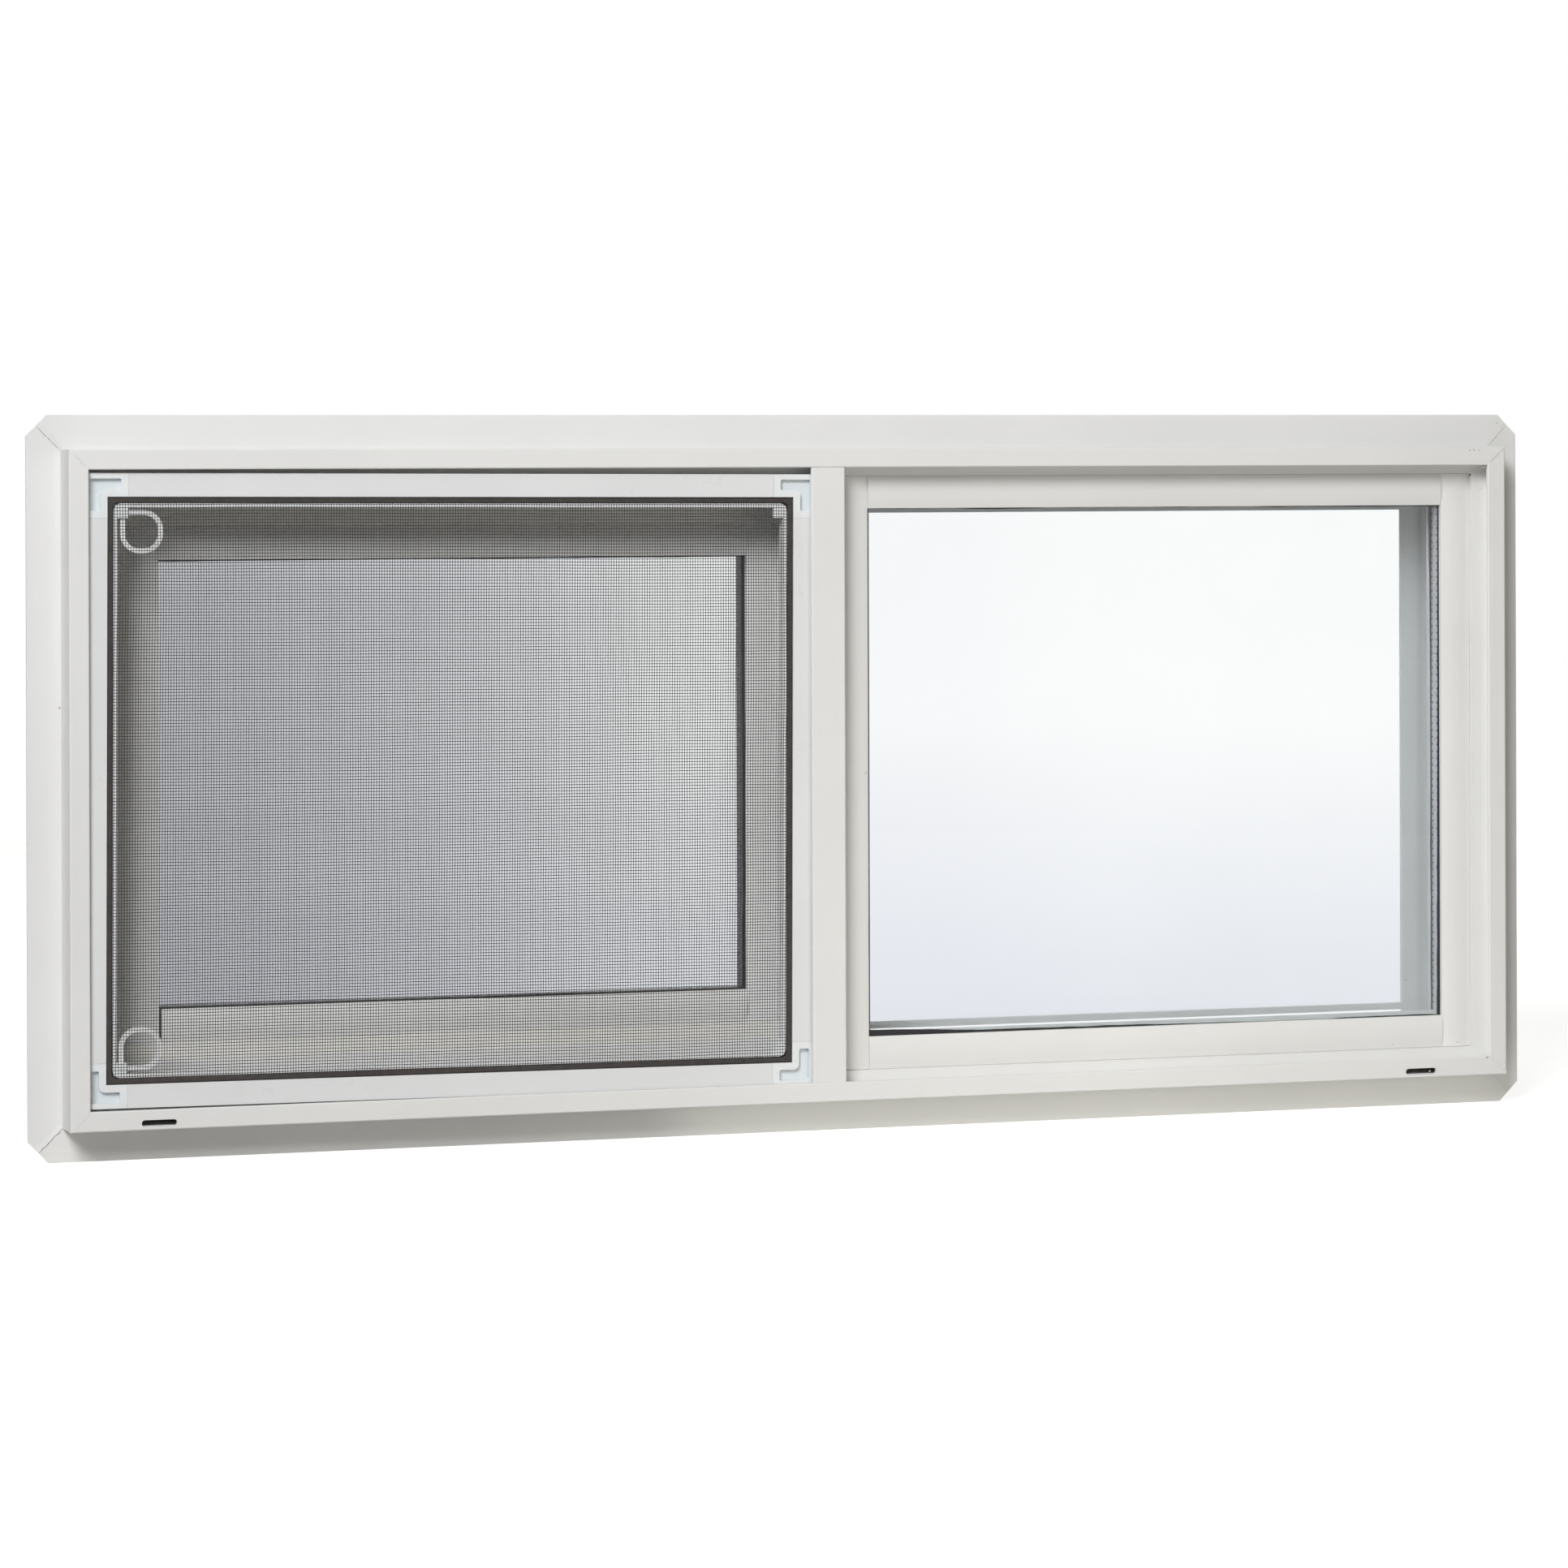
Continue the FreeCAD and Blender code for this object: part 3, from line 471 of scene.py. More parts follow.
def tubes(points):
    """Faces of a stack of tubes. points is (tubes, rows, columns, 3), a closed profile of columns carried
    along rows; neighbouring rows are joined by quads and each end is closed by one flat cap."""
    count, rows, columns = points.shape[:3]
    index = np.arange(count * rows * columns).reshape(count, rows, columns)
    turned = np.roll(index, -1, axis=2)
    sides = np.stack([index[:, :-1], turned[:, :-1], turned[:, 1:], index[:, 1:]], axis=-1).reshape(-1, 4)
    caps = np.concatenate([index[:, 0, ::-1], index[:, -1]])
    return [sides, caps]


def hoop(points):
    """Faces of one tube that closes on itself both ways. points is (rows, columns, 3)."""
    rows, columns = points.shape[:2]
    index = np.arange(rows * columns).reshape(rows, columns)
    turned, ahead = np.roll(index, -1, axis=1), np.roll(index, -1, axis=0)
    return [np.stack([index, turned, np.roll(ahead, -1, axis=1), ahead], axis=-1).reshape(-1, 4)]


def outward(points, polygons):
    """The faces, all turned round if the volume they enclose comes out negative. The volume is a sixth of
    the sum of the triple products of each face's fan of triangles."""
    total = 0.0
    for faces in polygons:
        for k in range(1, faces.shape[1] - 1):
            a, b, c = points[faces[:, 0]], points[faces[:, k]], points[faces[:, k + 1]]
            total += float(np.einsum("ij,ij->", a, np.cross(b, c)))
    return polygons if total > 0 else [p[:, ::-1] for p in polygons]


def wander(u, v, seed):
    """A slow, smooth wobble between about -1 and 1: five sines of the two places, with fixed frequencies
    and phases."""
    chance = np.random.default_rng(seed)
    total = np.zeros(np.broadcast(u, v).shape)
    for share in (1.0, 0.7, 0.5, 0.35, 0.25):
        a, b, phase = chance.uniform(-1, 1), chance.uniform(-1, 1), chance.uniform(0, 2 * np.pi)
        total = total + share * np.sin((a * u + b * v) / share + phase)
    return total / 1.8


def standing(plan, deep):
    """Points from places across and up the window, and their depths."""
    return np.stack([plan[..., 0], np.broadcast_to(deep, plan.shape[:-1]), plan[..., 1]], axis=-1)


def square_ring(low, high, width, across, deep):
    """A ring of bar round a rectangle: its corners carried outwards by shares of a width, at given depths."""
    corners = np.array([[low[0], low[2]], [high[0], low[2]], [high[0], high[2]], [low[0], high[2]]])
    away = np.array([[-1, -1], [1, -1], [1, 1], [-1, 1]]) * width
    return standing(corners[:, None, :] + away[:, None, :] * np.array(across)[None, :, None], deep)


def around(left, right, bottom, top, share):
    """A closed path round four sides, each given by its place at every share of its length."""
    def along(first, last):
        return first + (last - first) * share

    return np.concatenate([
        np.stack([along(left[0], right[0]), bottom], axis=-1)[:-1],
        np.stack([right, along(bottom[-1], top[-1])], axis=-1)[:-1],
        np.stack([along(left[-1], right[-1]), top], axis=-1)[:0:-1],
        np.stack([left, along(bottom[0], top[0])], axis=-1)[:0:-1],
    ])


def screen_plan():
    """Centre, half width and half height of the spline's outside, and the turn that hangs the screen out
    of square. The node's box is that of the turned rectangle, so its own sides follow from the box and the
    angle."""
    low, high = (np.array(v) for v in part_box("screen_spline"))
    turn = bpy.context.scene.window_screen.tilt
    c, s = math.cos(turn), math.sin(turn)
    wide, tall = high[0] - low[0], high[2] - low[2]
    half = np.array([(wide * c - tall * s), (tall * c - wide * s)]) / (c * c - s * s) / 2
    return (low + high) / 2, half, (c, s), low[1], high[1]


def hang(points, centre, turn):
    """Turns points about the screen's own middle, right side down."""
    c, s = turn
    x, z = points[..., 0].copy(), points[..., 2].copy()
    points[..., 0] = centre[0] + c * x + s * z
    points[..., 2] = centre[2] - s * x + c * z
    return points


def mesh_wires(upright):
    """Points of every wire of one direction. A wire is a flat oval rod of four sides. Its middle runs
    straight from edge to edge of the screen, plus a slow wander in the plane and a slight bow where the
    spline pulls the weave."""
    look = bpy.context.scene.window_screen
    centre, half, turn, front, _ = screen_plan()
    tucked = 2.4 * MM
    reach = half - tucked
    pitch = look.upright_pitch if upright else look.level_pitch
    across, along = (reach[0], reach[1]) if upright else (reach[1], reach[0])
    count = int(2 * across / pitch)
    offsets = (np.arange(count) - (count - 1) / 2) * pitch
    steps = np.linspace(-along, along, 61)
    u, v = np.meshgrid(offsets, steps, indexing="ij")
    ripple = look.ripple * wander(u * 34, v * 34, 5 if upright else 9)
    ripple = ripple + 0.35 * look.ripple * wander(u * 150, v * 40, 21 if upright else 33)
    edge = np.clip((np.abs(v) / along - 0.9) / 0.1, 0, 1) ** 2
    ripple = ripple + edge * 0.12 * MM * np.sin(u * 210)
    mid_depth = front + (0.26 if upright else 0.14) * MM
    ring = np.array([[1, 0], [0, 1], [-1, 0], [0, -1]], float)
    side = u[..., None] + ripple[..., None] + ring[:, 0] * look.wire_width / 2
    deep = np.broadcast_to(mid_depth + ring[:, 1] * look.wire_depth / 2, side.shape)
    far = np.broadcast_to(v[..., None], side.shape)
    points = np.stack([side, deep, far] if upright else [far, deep, side], axis=-1)
    return hang(points, centre, turn)


def spline_points():
    """The spline as a ring: outside a square-cornered rectangle, inside one with rounded corners, and
    between them a crowned top with a shallow groove, sunk sides and a flat back. Each inner point lies on
    the ray from its corner's centre to its outer point."""
    centre, half, turn, front, back = screen_plan()
    width, round_corner, steps = 3.2 * MM, 2.6 * MM, 15
    inner = half - width
    straight = inner - round_corner
    sweep = np.linspace(0, np.pi / 2, steps)
    rays = np.stack([np.cos(sweep), np.sin(sweep)], axis=-1)
    reach = (round_corner + width) / np.max(np.abs(rays), axis=1)[:, None]
    inside, outside = [], []
    for k, (sx, sz) in enumerate(((1, 1), (-1, 1), (-1, -1), (1, -1))):
        flip = np.array([sx, sz], float)
        order = slice(None) if k % 2 == 0 else slice(None, None, -1)
        arc_in = (straight + rays * round_corner) * flip
        arc_out = (straight + rays * reach) * flip
        inside.append(arc_in[order])
        outside.append(arc_out[order])
        ends = ((-1, 1), (-1, -1), (1, -1), (1, 1))[k]
        share = np.linspace(0, 1, 90)[1:-1, None]
        next_straight = straight * np.array(ends, float)
        nudge = np.array([(0, 1), (-1, 0), (0, -1), (1, 0)][k], float)
        start = straight * flip
        line = start + (next_straight - start) * share
        inside.append(line + nudge * round_corner)
        outside.append(line + nudge * (round_corner + width))
    inside, outside = np.concatenate(inside), np.concatenate(outside)
    place = np.cumsum(np.linalg.norm(np.diff(inside, axis=0, prepend=inside[-1:]), axis=1))
    slack = 0.16 * MM * wander(place * 60, place * 0, 3)[:, None]
    across = np.array([0.0, 0.04, 0.16, 0.34, 0.5, 0.66, 0.84, 0.96, 1.0, 1.0, 0.0])
    depth = np.array([0.55, 0.22, 0.05, 0.0, 0.16, 0.02, 0.10, 0.35, 0.75, 3.6, 3.6]) * MM
    inwards = (inside - outside)[:, None, :]
    loose = (slack * np.where(across > 0.9, 1.0, 0.0))[..., None]
    plan = outside[:, None, :] + inwards * across[None, :, None] + inwards / width * loose
    uneven = 0.12 * MM * (1 + wander(place * 45, place * 0, 8))[:, None] * (depth < 1 * MM)
    deep = np.minimum(front + depth[None, :] + uneven, back)
    return hang(standing(plan, deep), centre, turn)


def stub_points():
    """Cut wire ends that stand out past the spline: short four-sided rods, leaning as they were trimmed."""
    centre, half, turn, front, _ = screen_plan()
    chance = np.random.default_rng(17)
    spots = []
    for side, low, high, count in (
        ("right", 0.80, 1.0, 13), ("top", 0.86, 1.0, 9), ("right", -1.0, -0.93, 4),
        ("top", -1.0, -0.55, 9), ("bottom", -1.0, -0.7, 5), ("right", -0.6, 0.7, 6),
    ):
        run = chance.uniform(low, high, count)
        edge = np.ones(count)
        pair = {"right": (edge, run), "top": (run, edge), "bottom": (run, -edge)}[side]
        way = {"right": (1, 0), "top": (0, 1), "bottom": (0, -1)}[side]
        spots.append(np.concatenate([np.stack(pair, axis=-1) * half, np.tile(way, (count, 1))], axis=1))
    spots = np.concatenate(spots)
    root, way = spots[:, :2], spots[:, 2:] + chance.uniform(-0.5, 0.5, (len(spots), 2))
    reach = chance.uniform(0.25, 0.8, len(spots))[:, None] * MM
    thick, rooted, sunk = 0.12 * MM, 0.6 * MM, 0.25 * MM
    ring = np.array([[1, 0], [0, 1], [-1, 0], [0, -1]]) * thick
    ends = np.stack([root - way * rooted, root + way * reach], axis=1)
    aside = np.stack([-way[:, 1], way[:, 0]], axis=-1)
    plan = ends[:, :, None, :] + aside[:, None, None, :] * ring[None, None, :, :1]
    return hang(standing(plan, front + sunk + ring[:, 1]), centre, turn)


def tape_points(node, beads, widths):
    """Glazing tape as a ring with a ragged inner edge. The outer edge is the node's own; the inner edge
    runs the width of each side past the bead, from its first to its last width, plus a small wander."""
    low, high = (np.array(v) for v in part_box(node))
    left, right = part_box(beads + "_left")[1][0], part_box(beads + "_right")[0][0]
    bottom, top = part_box(beads + "_bottom")[1][2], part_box(beads + "_top")[0][2]
    share = np.linspace(0, 1, 120)
    show = {}
    for seed, (side, stops) in enumerate(widths.items()):
        places, values = zip(*stops)
        rough = 0.13 * wander(share * 70, share * 0, 40 + seed)
        rough = rough + 0.07 * wander(share * 300, share * 0, 60 + seed)
        show[side] = np.maximum(np.interp(share, places, values) + rough, 0.05) * MM
    inner = around(left + show["left"], right - show["right"],
                   bottom + show["bottom"], top - show["top"], share)
    even = 0 * share
    outer = around(low[0] + even, high[0] + even, low[2] + even, high[2] + even, share)
    across = np.array([0.0, 0.97, 1.0, 1.0, 0.97, 0.0])
    depth = np.array([0.0, 0.0, 0.25, 0.75, 1.0, 1.0])
    plan = outer[:, None, :] + (inner - outer)[:, None, :] * across[None, :, None]
    return standing(plan, low[1] + (high[1] - low[1]) * depth)


def spacer_points():
    """The fixed pane's spacer as a ring of rectangular bar with mitred corners, and beside its right side a
    strip of sealant on the inner pane, whose width changes from top to bottom; the strip is butyl and also
    painted shadow beside the spacer. The ring is the node's own inside rectangle, moved, with a fixed width
    outwards."""
    look = bpy.context.scene.window_glazing
    low, high = (np.array(v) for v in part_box("fixed_spacer"))
    inner_low = low + CAD_SPACER_WIDTH + look.spacer_move
    inner_high = high - CAD_SPACER_WIDTH + look.spacer_move
    deep = low[1] + (high[1] - low[1]) * np.array([0.02, 0.98, 0.98, 0.02])
    ring = square_ring(inner_low, inner_high, look.spacer_width, [0.0, 0.0, 1.0, 1.0], deep)
    share = np.linspace(0, 1, 60)
    # Width of the strip, which follows the painted shadow beside the spacer.
    wide = np.interp(share, (0, 0.35, 0.55, 0.8, 0.93, 1), (0.7, 0.8, 0.45, 0.8, 1.3, 1.4)) * MM
    edge = inner_high[0] - wide * (1 + 0.15 * wander(share * 60, share * 0, 71))
    rise = inner_low[2] + (inner_high[2] - inner_low[2]) * share
    back = high[1] - 0.02 * MM
    front = back - 0.15 * MM
    rims = ((edge, front), (inner_high[0], front), (inner_high[0], back), (edge, back))
    columns = [np.stack([x + 0 * share, y + 0 * share, rise], axis=-1) for x, y in rims]
    return ring, np.stack(columns, axis=1)[None]


def jag(share, knots, seed):
    """A broken line between -1 and 1: chance heights at even knots, joined straight."""
    return np.interp(share, np.linspace(0, 1, knots), np.random.default_rng(seed).uniform(-1, 1, knots))


def band(middle, aside, normal, profile):
    """A profile carried along a path. Each of its columns is a place aside and a rise along the normal, both
    of which may change along the way."""
    rows = len(middle)
    side, rise = (np.stack([np.broadcast_to(column[k], rows) for column in profile], axis=1) for k in (0, 1))
    return middle[:, None, :] + side[..., None] * aside + rise[..., None] * normal


class Mitre:
    """The diagonal at one corner of the frame: places on it by how far they lie in from the fin's edges."""

    def __init__(self, name, surface):
        low, high = (np.array(v) for v in CAD_BOX)
        sx, sz = (1 if "right" in name else -1), (1 if "top" in name else -1)
        depth = -bpy.context.scene.window_weld.fin_front if surface == "fin" else low[1]
        self.corner = np.array([high[0] if sx > 0 else low[0], depth, high[2] if sz > 0 else low[2]])
        self.inward = np.array([-sx, 0.0, -sz])
        self.aside = np.array([-sx, 0.0, sz]) / math.sqrt(2)
        self.normal = np.array([0.0, -1.0, 0.0])

    def path(self, first, last, rows):
        return self.corner + self.inward * (np.linspace(first, last, rows) * MM)[:, None]


# Corner, surface, first and last place on the mitre, soft edge, sharp edge, height, roughness of the sharp
# edge, and width of the dark line along it, in millimetres. Places aside are positive towards the head or
# sill.
SEAMS = (
    ("bottom_left", "fin", 5.8, 17.6, -2.8, 0.0, 0.45, 0.42, 0.36),
    ("top_left", "fin", 5.8, 17.6, 1.9, -0.3, 0.20, 0.05, 0.20),
    ("top_right", "fin", 6.4, 17.6, 1.6, -0.2, 0.06, 0.14, 0.15),
    ("bottom_right", "fin", 6.2, 17.4, -1.6, 0.8, 0.10, 0.12, 0.0),
    ("bottom_left", "lip", 18.5, 27.6, -1.1, 0.8, 0.08, 0.12, 0.0),
    ("top_left", "lip", 20.6, 27.2, 0.8, -0.1, 0.04, 0.12, 0.07),
    ("top_right", "lip", 18.4, 26.8, 1.2, 0.0, 0.04, 0.12, 0.17),
    ("bottom_right", "lip", 18.5, 27.4, -1.2, 1.0, 0.06, 0.14, 0.0),
)

# Corner, surface, first and last place on the mitre, middle and spread aside, count, size, and whether dark:
# dark crumbs are dirt and also painted shade on the edges of weld chips.
CRUMBS = (
    ("bottom_left", "lip", 18.6, 27.6, -0.1, 0.9, 20, 0.42, False),
    ("bottom_left", "lip", 18.6, 27.6, -0.1, 0.9, 14, 0.30, True),
    ("bottom_left", "fin", 6.0, 17.0, -2.6, 0.3, 14, 0.28, False),
    ("bottom_left", "lip", 17.9, 18.5, 0.0, 0.4, 4, 0.70, False),
    ("bottom_right", "lip", 18.3, 24.0, 0.2, 1.5, 16, 0.60, False),
    ("bottom_right", "lip", 19.0, 24.0, 0.3, 1.4, 13, 0.42, True),
    ("bottom_right", "lip", 27.4, 28.2, -0.6, 0.6, 5, 0.55, False),
    ("top_left", "fin", 9.0, 14.5, 1.9, 0.3, 9, 0.38, True),
    ("top_left", "fin", 16.9, 17.7, 0.3, 1.0, 8, 0.50, False),
    ("top_left", "fin", 16.9, 17.7, 0.3, 1.0, 4, 0.34, True),
    ("top_right", "fin", 6.0, 8.6, 1.2, 0.9, 8, 0.34, True),
)

# Single marks: sideways place, depth, height, width and tallness in millimetres of the part, and their kind.
MARKS = (
    (387.3, -13.8, 342.4, 1.7, 1.6, "crack"),
    (393.7, -13.8, 334.7, 0.7, 0.7, "crack"),
    (379.7, -11.9, 26.2, 2.2, 0.6, "grit"),
    (340.4, -11.9, 26.3, 0.8, 0.6, "grit"),
    (391.7, -24.2, 346.5, 4.4, 1.2, "grit"),
    (381.8, -25.4, 356.1, 2.0, 0.7, "grit"),
    (384.5, -25.4, 356.3, 2.4, 0.6, "grit"),
    (387.6, -25.4, 356.0, 1.6, 0.6, "grit"),
    (409.8, -1.8, 371.5, 2.0, 0.7, "grit"),
    (391.2, -25.4, 18.5, 2.6, 0.9, "grit"),
    (391.6, -25.45, 19.3, 2.6, 1.1, "vinyl"),
    (356.5, -25.2, 12.4, 1.3, 0.9, "vinyl"),
    (402.7, -25.4, 9.7, 1.6, 1.2, "vinyl"),
)


def seam_points(rows=72):
    """Every seam as one band: a gentle slope up from its soft edge to its sharp edge, which is a broken line,
    and a drop there. Returns the bands, and the thin dark lines that run along the sharp edges."""
    share = np.linspace(0, 1, rows)
    seams, cracks = {}, []
    for seed, (corner, surface, first, last, soft, sharp, height, rough, crack) in enumerate(SEAMS):
        mitre = Mitre(corner, surface)
        path = mitre.path(first, last, rows)
        way = math.copysign(1.0, sharp - soft)
        knots = int((last - first) * (1.25 if rough > 0.2 else 0.45)) + 2
        edge = sharp + rough * jag(share, knots, 300 + seed)
        loose = soft + 0.25 * jag(share, int((last - first) * 0.8) + 2, 400 + seed)
        profile = [(loose * MM, -0.1 * MM), ((loose + way * 0.2) * MM, 0.02 * MM),
                   ((edge - way * 0.05) * MM, height * MM), (edge * MM, -0.1 * MM)]
        seams.setdefault(corner, []).append(band(path, mitre.aside, mitre.normal, profile))
        if crack:
            taper = np.clip(np.minimum(share, 1 - share) * 9, 0.2, 1)
            wide = crack * taper * (0.8 + 0.35 * jag(share, 14, 500 + seed))
            line = [(edge * MM, 0.02 * MM), ((edge + way * wide) * MM, 0.02 * MM),
                    ((edge + way * wide) * MM, -0.1 * MM), (edge * MM, -0.1 * MM)]
            cracks.append(band(path, mitre.aside, mitre.normal, line))
    return {corner: np.stack(bands) for corner, bands in seams.items()}, np.stack(cracks)


def crumb_points():
    """Weld crumbs and marks: five-sided stumps of chance size and turn, scattered about a stretch of a mitre,
    and flat seven-sided ones at single places. Returns them by the name of their piece."""
    chance = np.random.default_rng(23)
    stumps = {False: [], True: []}
    for corner, surface, first, last, middle, spread, count, size, dark_dirt_and_shade in CRUMBS:
        mitre = Mitre(corner, surface)
        spot = mitre.corner + mitre.inward * (chance.uniform(first, last, count) * MM)[:, None]
        spot = spot + mitre.aside * ((middle + spread * chance.uniform(-1, 1, count)) * MM)[:, None]
        turn = chance.uniform(0, 2 * np.pi, count)[:, None] + np.linspace(0, 2 * np.pi, 5, endpoint=False)
        reach = size * chance.uniform(0.5, 1.2, (count, 1)) * chance.uniform(0.6, 1.1, (count, 5)) / 2 * MM
        rise = size * chance.uniform(0.25, 0.6, count)[:, None] * MM
        foot = np.stack([np.cos(turn) * reach, 0.1 * MM + 0 * reach, np.sin(turn) * reach], axis=-1)
        top = np.stack([np.cos(turn) * reach * 0.55, -rise + 0 * reach, np.sin(turn) * reach * 0.55], axis=-1)
        stumps[dark_dirt_and_shade].append(spot[:, None, None, :] + np.stack([foot, top], axis=1))
    table = np.array([row[:5] for row in MARKS]) * MM
    turn = np.linspace(0, 2 * np.pi, 7, endpoint=False)
    uneven = chance.uniform(0.65, 1.0, (len(table), 7)) / 2
    foot = np.stack([np.cos(turn) * uneven * table[:, 3:4], 0.1 * MM + 0 * uneven,
                     np.sin(turn) * uneven * table[:, 4:5]], axis=-1)
    top = foot * np.array([0.7, 0.0, 0.7]) + np.array([0.0, -0.06 * MM, 0.0])
    marks = table[:, None, None, :3] + np.stack([foot, top], axis=1)
    kind = np.array([row[5] for row in MARKS])
    return {
        "weld_crumbs_vinyl": np.concatenate(stumps[False]),
        # The grit crumbs are dirt and also painted shade on the chips' edges.
        "weld_crumbs_grit": np.concatenate(stumps[True]),
        "marks_vinyl": marks[kind == "vinyl"],
        "marks_grit": marks[kind == "grit"],
        "marks_crack": marks[kind == "crack"],
    }


def joint_points():
    """The hairlines where a bar meets a corner key: thin flat strips across the bar's face, two to a side."""
    look = bpy.context.scene.window_screen
    centre, half, turn, _, _ = screen_plan()
    outer = half + look.flat
    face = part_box("screen_bar_top")[0][1]
    strips = []
    for sx, sz in ((1, 1), (-1, 1), (-1, -1), (1, -1)):
        for level in (True, False):
            near, far = 0.3 * MM, look.flat - 0.3 * MM
            corner = np.array([outer[0] * sx, outer[1] * sz])
            along = np.array([-sx, 0.0]) if level else np.array([0.0, -sz])
            inward = np.array([0.0, -sz]) if level else np.array([-sx, 0.0])
            start = corner + along * look.key_length
            sides = np.array([-0.5, 0.5, 0.5, -0.5]) * look.joint_width
            plan = np.stack([start + inward * reach + along * sides[:, None] for reach in (near, far)])
            strips.append(standing(plan, face + np.array([-0.015, -0.015, 0.2, 0.2]) * MM))
    return hang(np.stack(strips), centre, turn)


def dust_points():
    """A thin square ring in the gap outside the fixed pane's beads: the beads' own outer rectangle, carried
    out by the width of the gap, just below their edges."""
    low, high = np.array(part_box("fixed_bead_left")[0]), np.array(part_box("fixed_bead_right")[1])
    gap, sunk, thick = 0.14 * MM, 1.45 * MM, 0.6 * MM
    deep = low[1] + sunk + np.array([0.0, 0.0, 1.0, 1.0]) * thick
    return square_ring(low, high, gap, [0.05, 1.0, 1.0, 0.05], deep)


def joint_dust(name):
    """A joint's fill: pale at the foot of the window, brown and dark at its head, with uneven patches of
    dirt.
    """
    made = Finish(name, (0.5, 0.5, 0.48), 0.8, 0.2)
    height = made.span(made.axis("Z"), 40 * MM, 330 * MM)
    # Darker and browner towards the head of the window.
    patch = made.span(made.noise(45.0, 3.0, 0.6), 0.35, 0.7)
    tone = made.blend(height, (0.55, 0.55, 0.53), (0.16, 0.13, 0.10))
    made.wear(made.blend(patch, tone, (0.42, 0.39, 0.34)), made.span(patch, 0.0, 1.0, 0.7, 0.95))
    made.bump(made.noise(2200.0, 2.0), 0.3, 0.05 * MM)
    return made.material


def hole_rows(node):
    """Depths of the two rows of holes in a spacer."""
    low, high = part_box(node)
    return [low[1] + (high[1] - low[1]) * share for share in (0.25, 0.85)]


def finish_nodes(material, names):
    """Gives one finish to CAD nodes."""
    for name in names:
        mesh = frame["nodes"][name].data
        mesh.materials.clear()
        mesh.materials.append(material)


class WINDOW_OT_vinyl(bpy.types.Operator):
    """Finish the frame, mullion, track, beads and sash"""

    bl_idname = "window.vinyl"
    bl_label = "Vinyl profiles"

    def execute(self, context):
        look = context.scene.window_vinyl
        for part, base, levels, uprights in (
            ("frame", look.frame, ("frame_head", "frame_sill"),
             ("frame_left_jamb", "frame_right_jamb", "mullion")),
            ("sash", look.sash, ("sash_top_rail", "sash_bottom_rail"),
             ("sash_pull_stile", "sash_meeting_stile")),
            ("fixed_bead", look.bead, ("fixed_bead_top", "fixed_bead_bottom"),
             ("fixed_bead_left", "fixed_bead_right")),
            ("sash_bead", look.bead, ("sash_bead_top", "sash_bead_bottom"),
             ("sash_bead_left", "sash_bead_right")),
        ):
            finish_nodes(vinyl(part + "_level_vinyl", base, "X", look.grime), levels)
            finish_nodes(vinyl(part + "_upright_vinyl", base, "Z", look.grime), uprights)
        finish_nodes(vinyl("track_vinyl", look.track, "X", look.grime, 0.85), ["sill_track"])
        return {"FINISHED"}


class WINDOW_OT_hardware(bpy.types.Operator):
    """Finish the latch, its lever and the glides"""

    bl_idname = "window.hardware"
    bl_label = "Latch and glides"

    def execute(self, context):
        look = context.scene.window_vinyl
        plastic = moulded("latch_plastic", look.latch, look.grime, 0.34)
        finish_nodes(plastic, ["sash_latch", "sash_latch_lever"])
        finish_nodes(moulded("glide_nylon", look.glide, look.grime, 0.45, 0.1), ["sash_glides"])
        return {"FINISHED"}


class WINDOW_OT_panes(bpy.types.Operator):
    """Finish the glass, spacers and edge seals"""

    bl_idname = "window.panes"
    bl_label = "Double panes"

    def execute(self, context):
        look = context.scene.window_glazing
        glass = pane("pane_glass", look.glass, look.edge, look.shadow)
        seal = rubber("edge_seal", look.seal, (0.4, 0.4, 0.4))
        # The sash's spacer takes the dark colour of painted shade.
        for light, base in (("fixed", look.spacer), ("sash", look.sash_spacer)):
            metal = spacer_metal(light + "_spacer_metal", base, look.hole_pitch, look.hole_size,
                                 hole_rows(light + "_spacer"))
            finish_nodes(glass, [light + "_outer_pane", light + "_inner_pane"])
            finish_nodes(metal, [light + "_spacer"])
            finish_nodes(seal, [light + "_edge_seal"])
        return {"FINISHED"}


class WINDOW_OT_spacer(bpy.types.Operator):
    """Set the fixed pane's spacer a little up and to the right, with its line of sealant, which is also
    painted shadow
    """

    bl_idname = "window.spacer"
    bl_label = "Fixed spacer"

    def execute(self, context):
        look = context.scene.window_glazing
        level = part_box("fixed_spacer")[0][2] + 12 * MM
        metal = spacer_metal("fixed_bar_metal", look.spacer, look.hole_pitch, look.hole_size,
                             hole_rows("fixed_spacer"), look.butyl, look.foot, level)
        points, line = spacer_points()
        build("fixed_spacer_bar", points, hoop(points), metal, "frame", ["fixed_spacer"],
              smooth=False)
        # A black strip of butyl, which also stands in as painted shadow on the inner pane beside the spacer.
        black = rubber("butyl", look.butyl, (0.2, 0.2, 0.2))
        build("fixed_butyl_shadow_line", line, tubes(line), black, "frame")
        return {"FINISHED"}


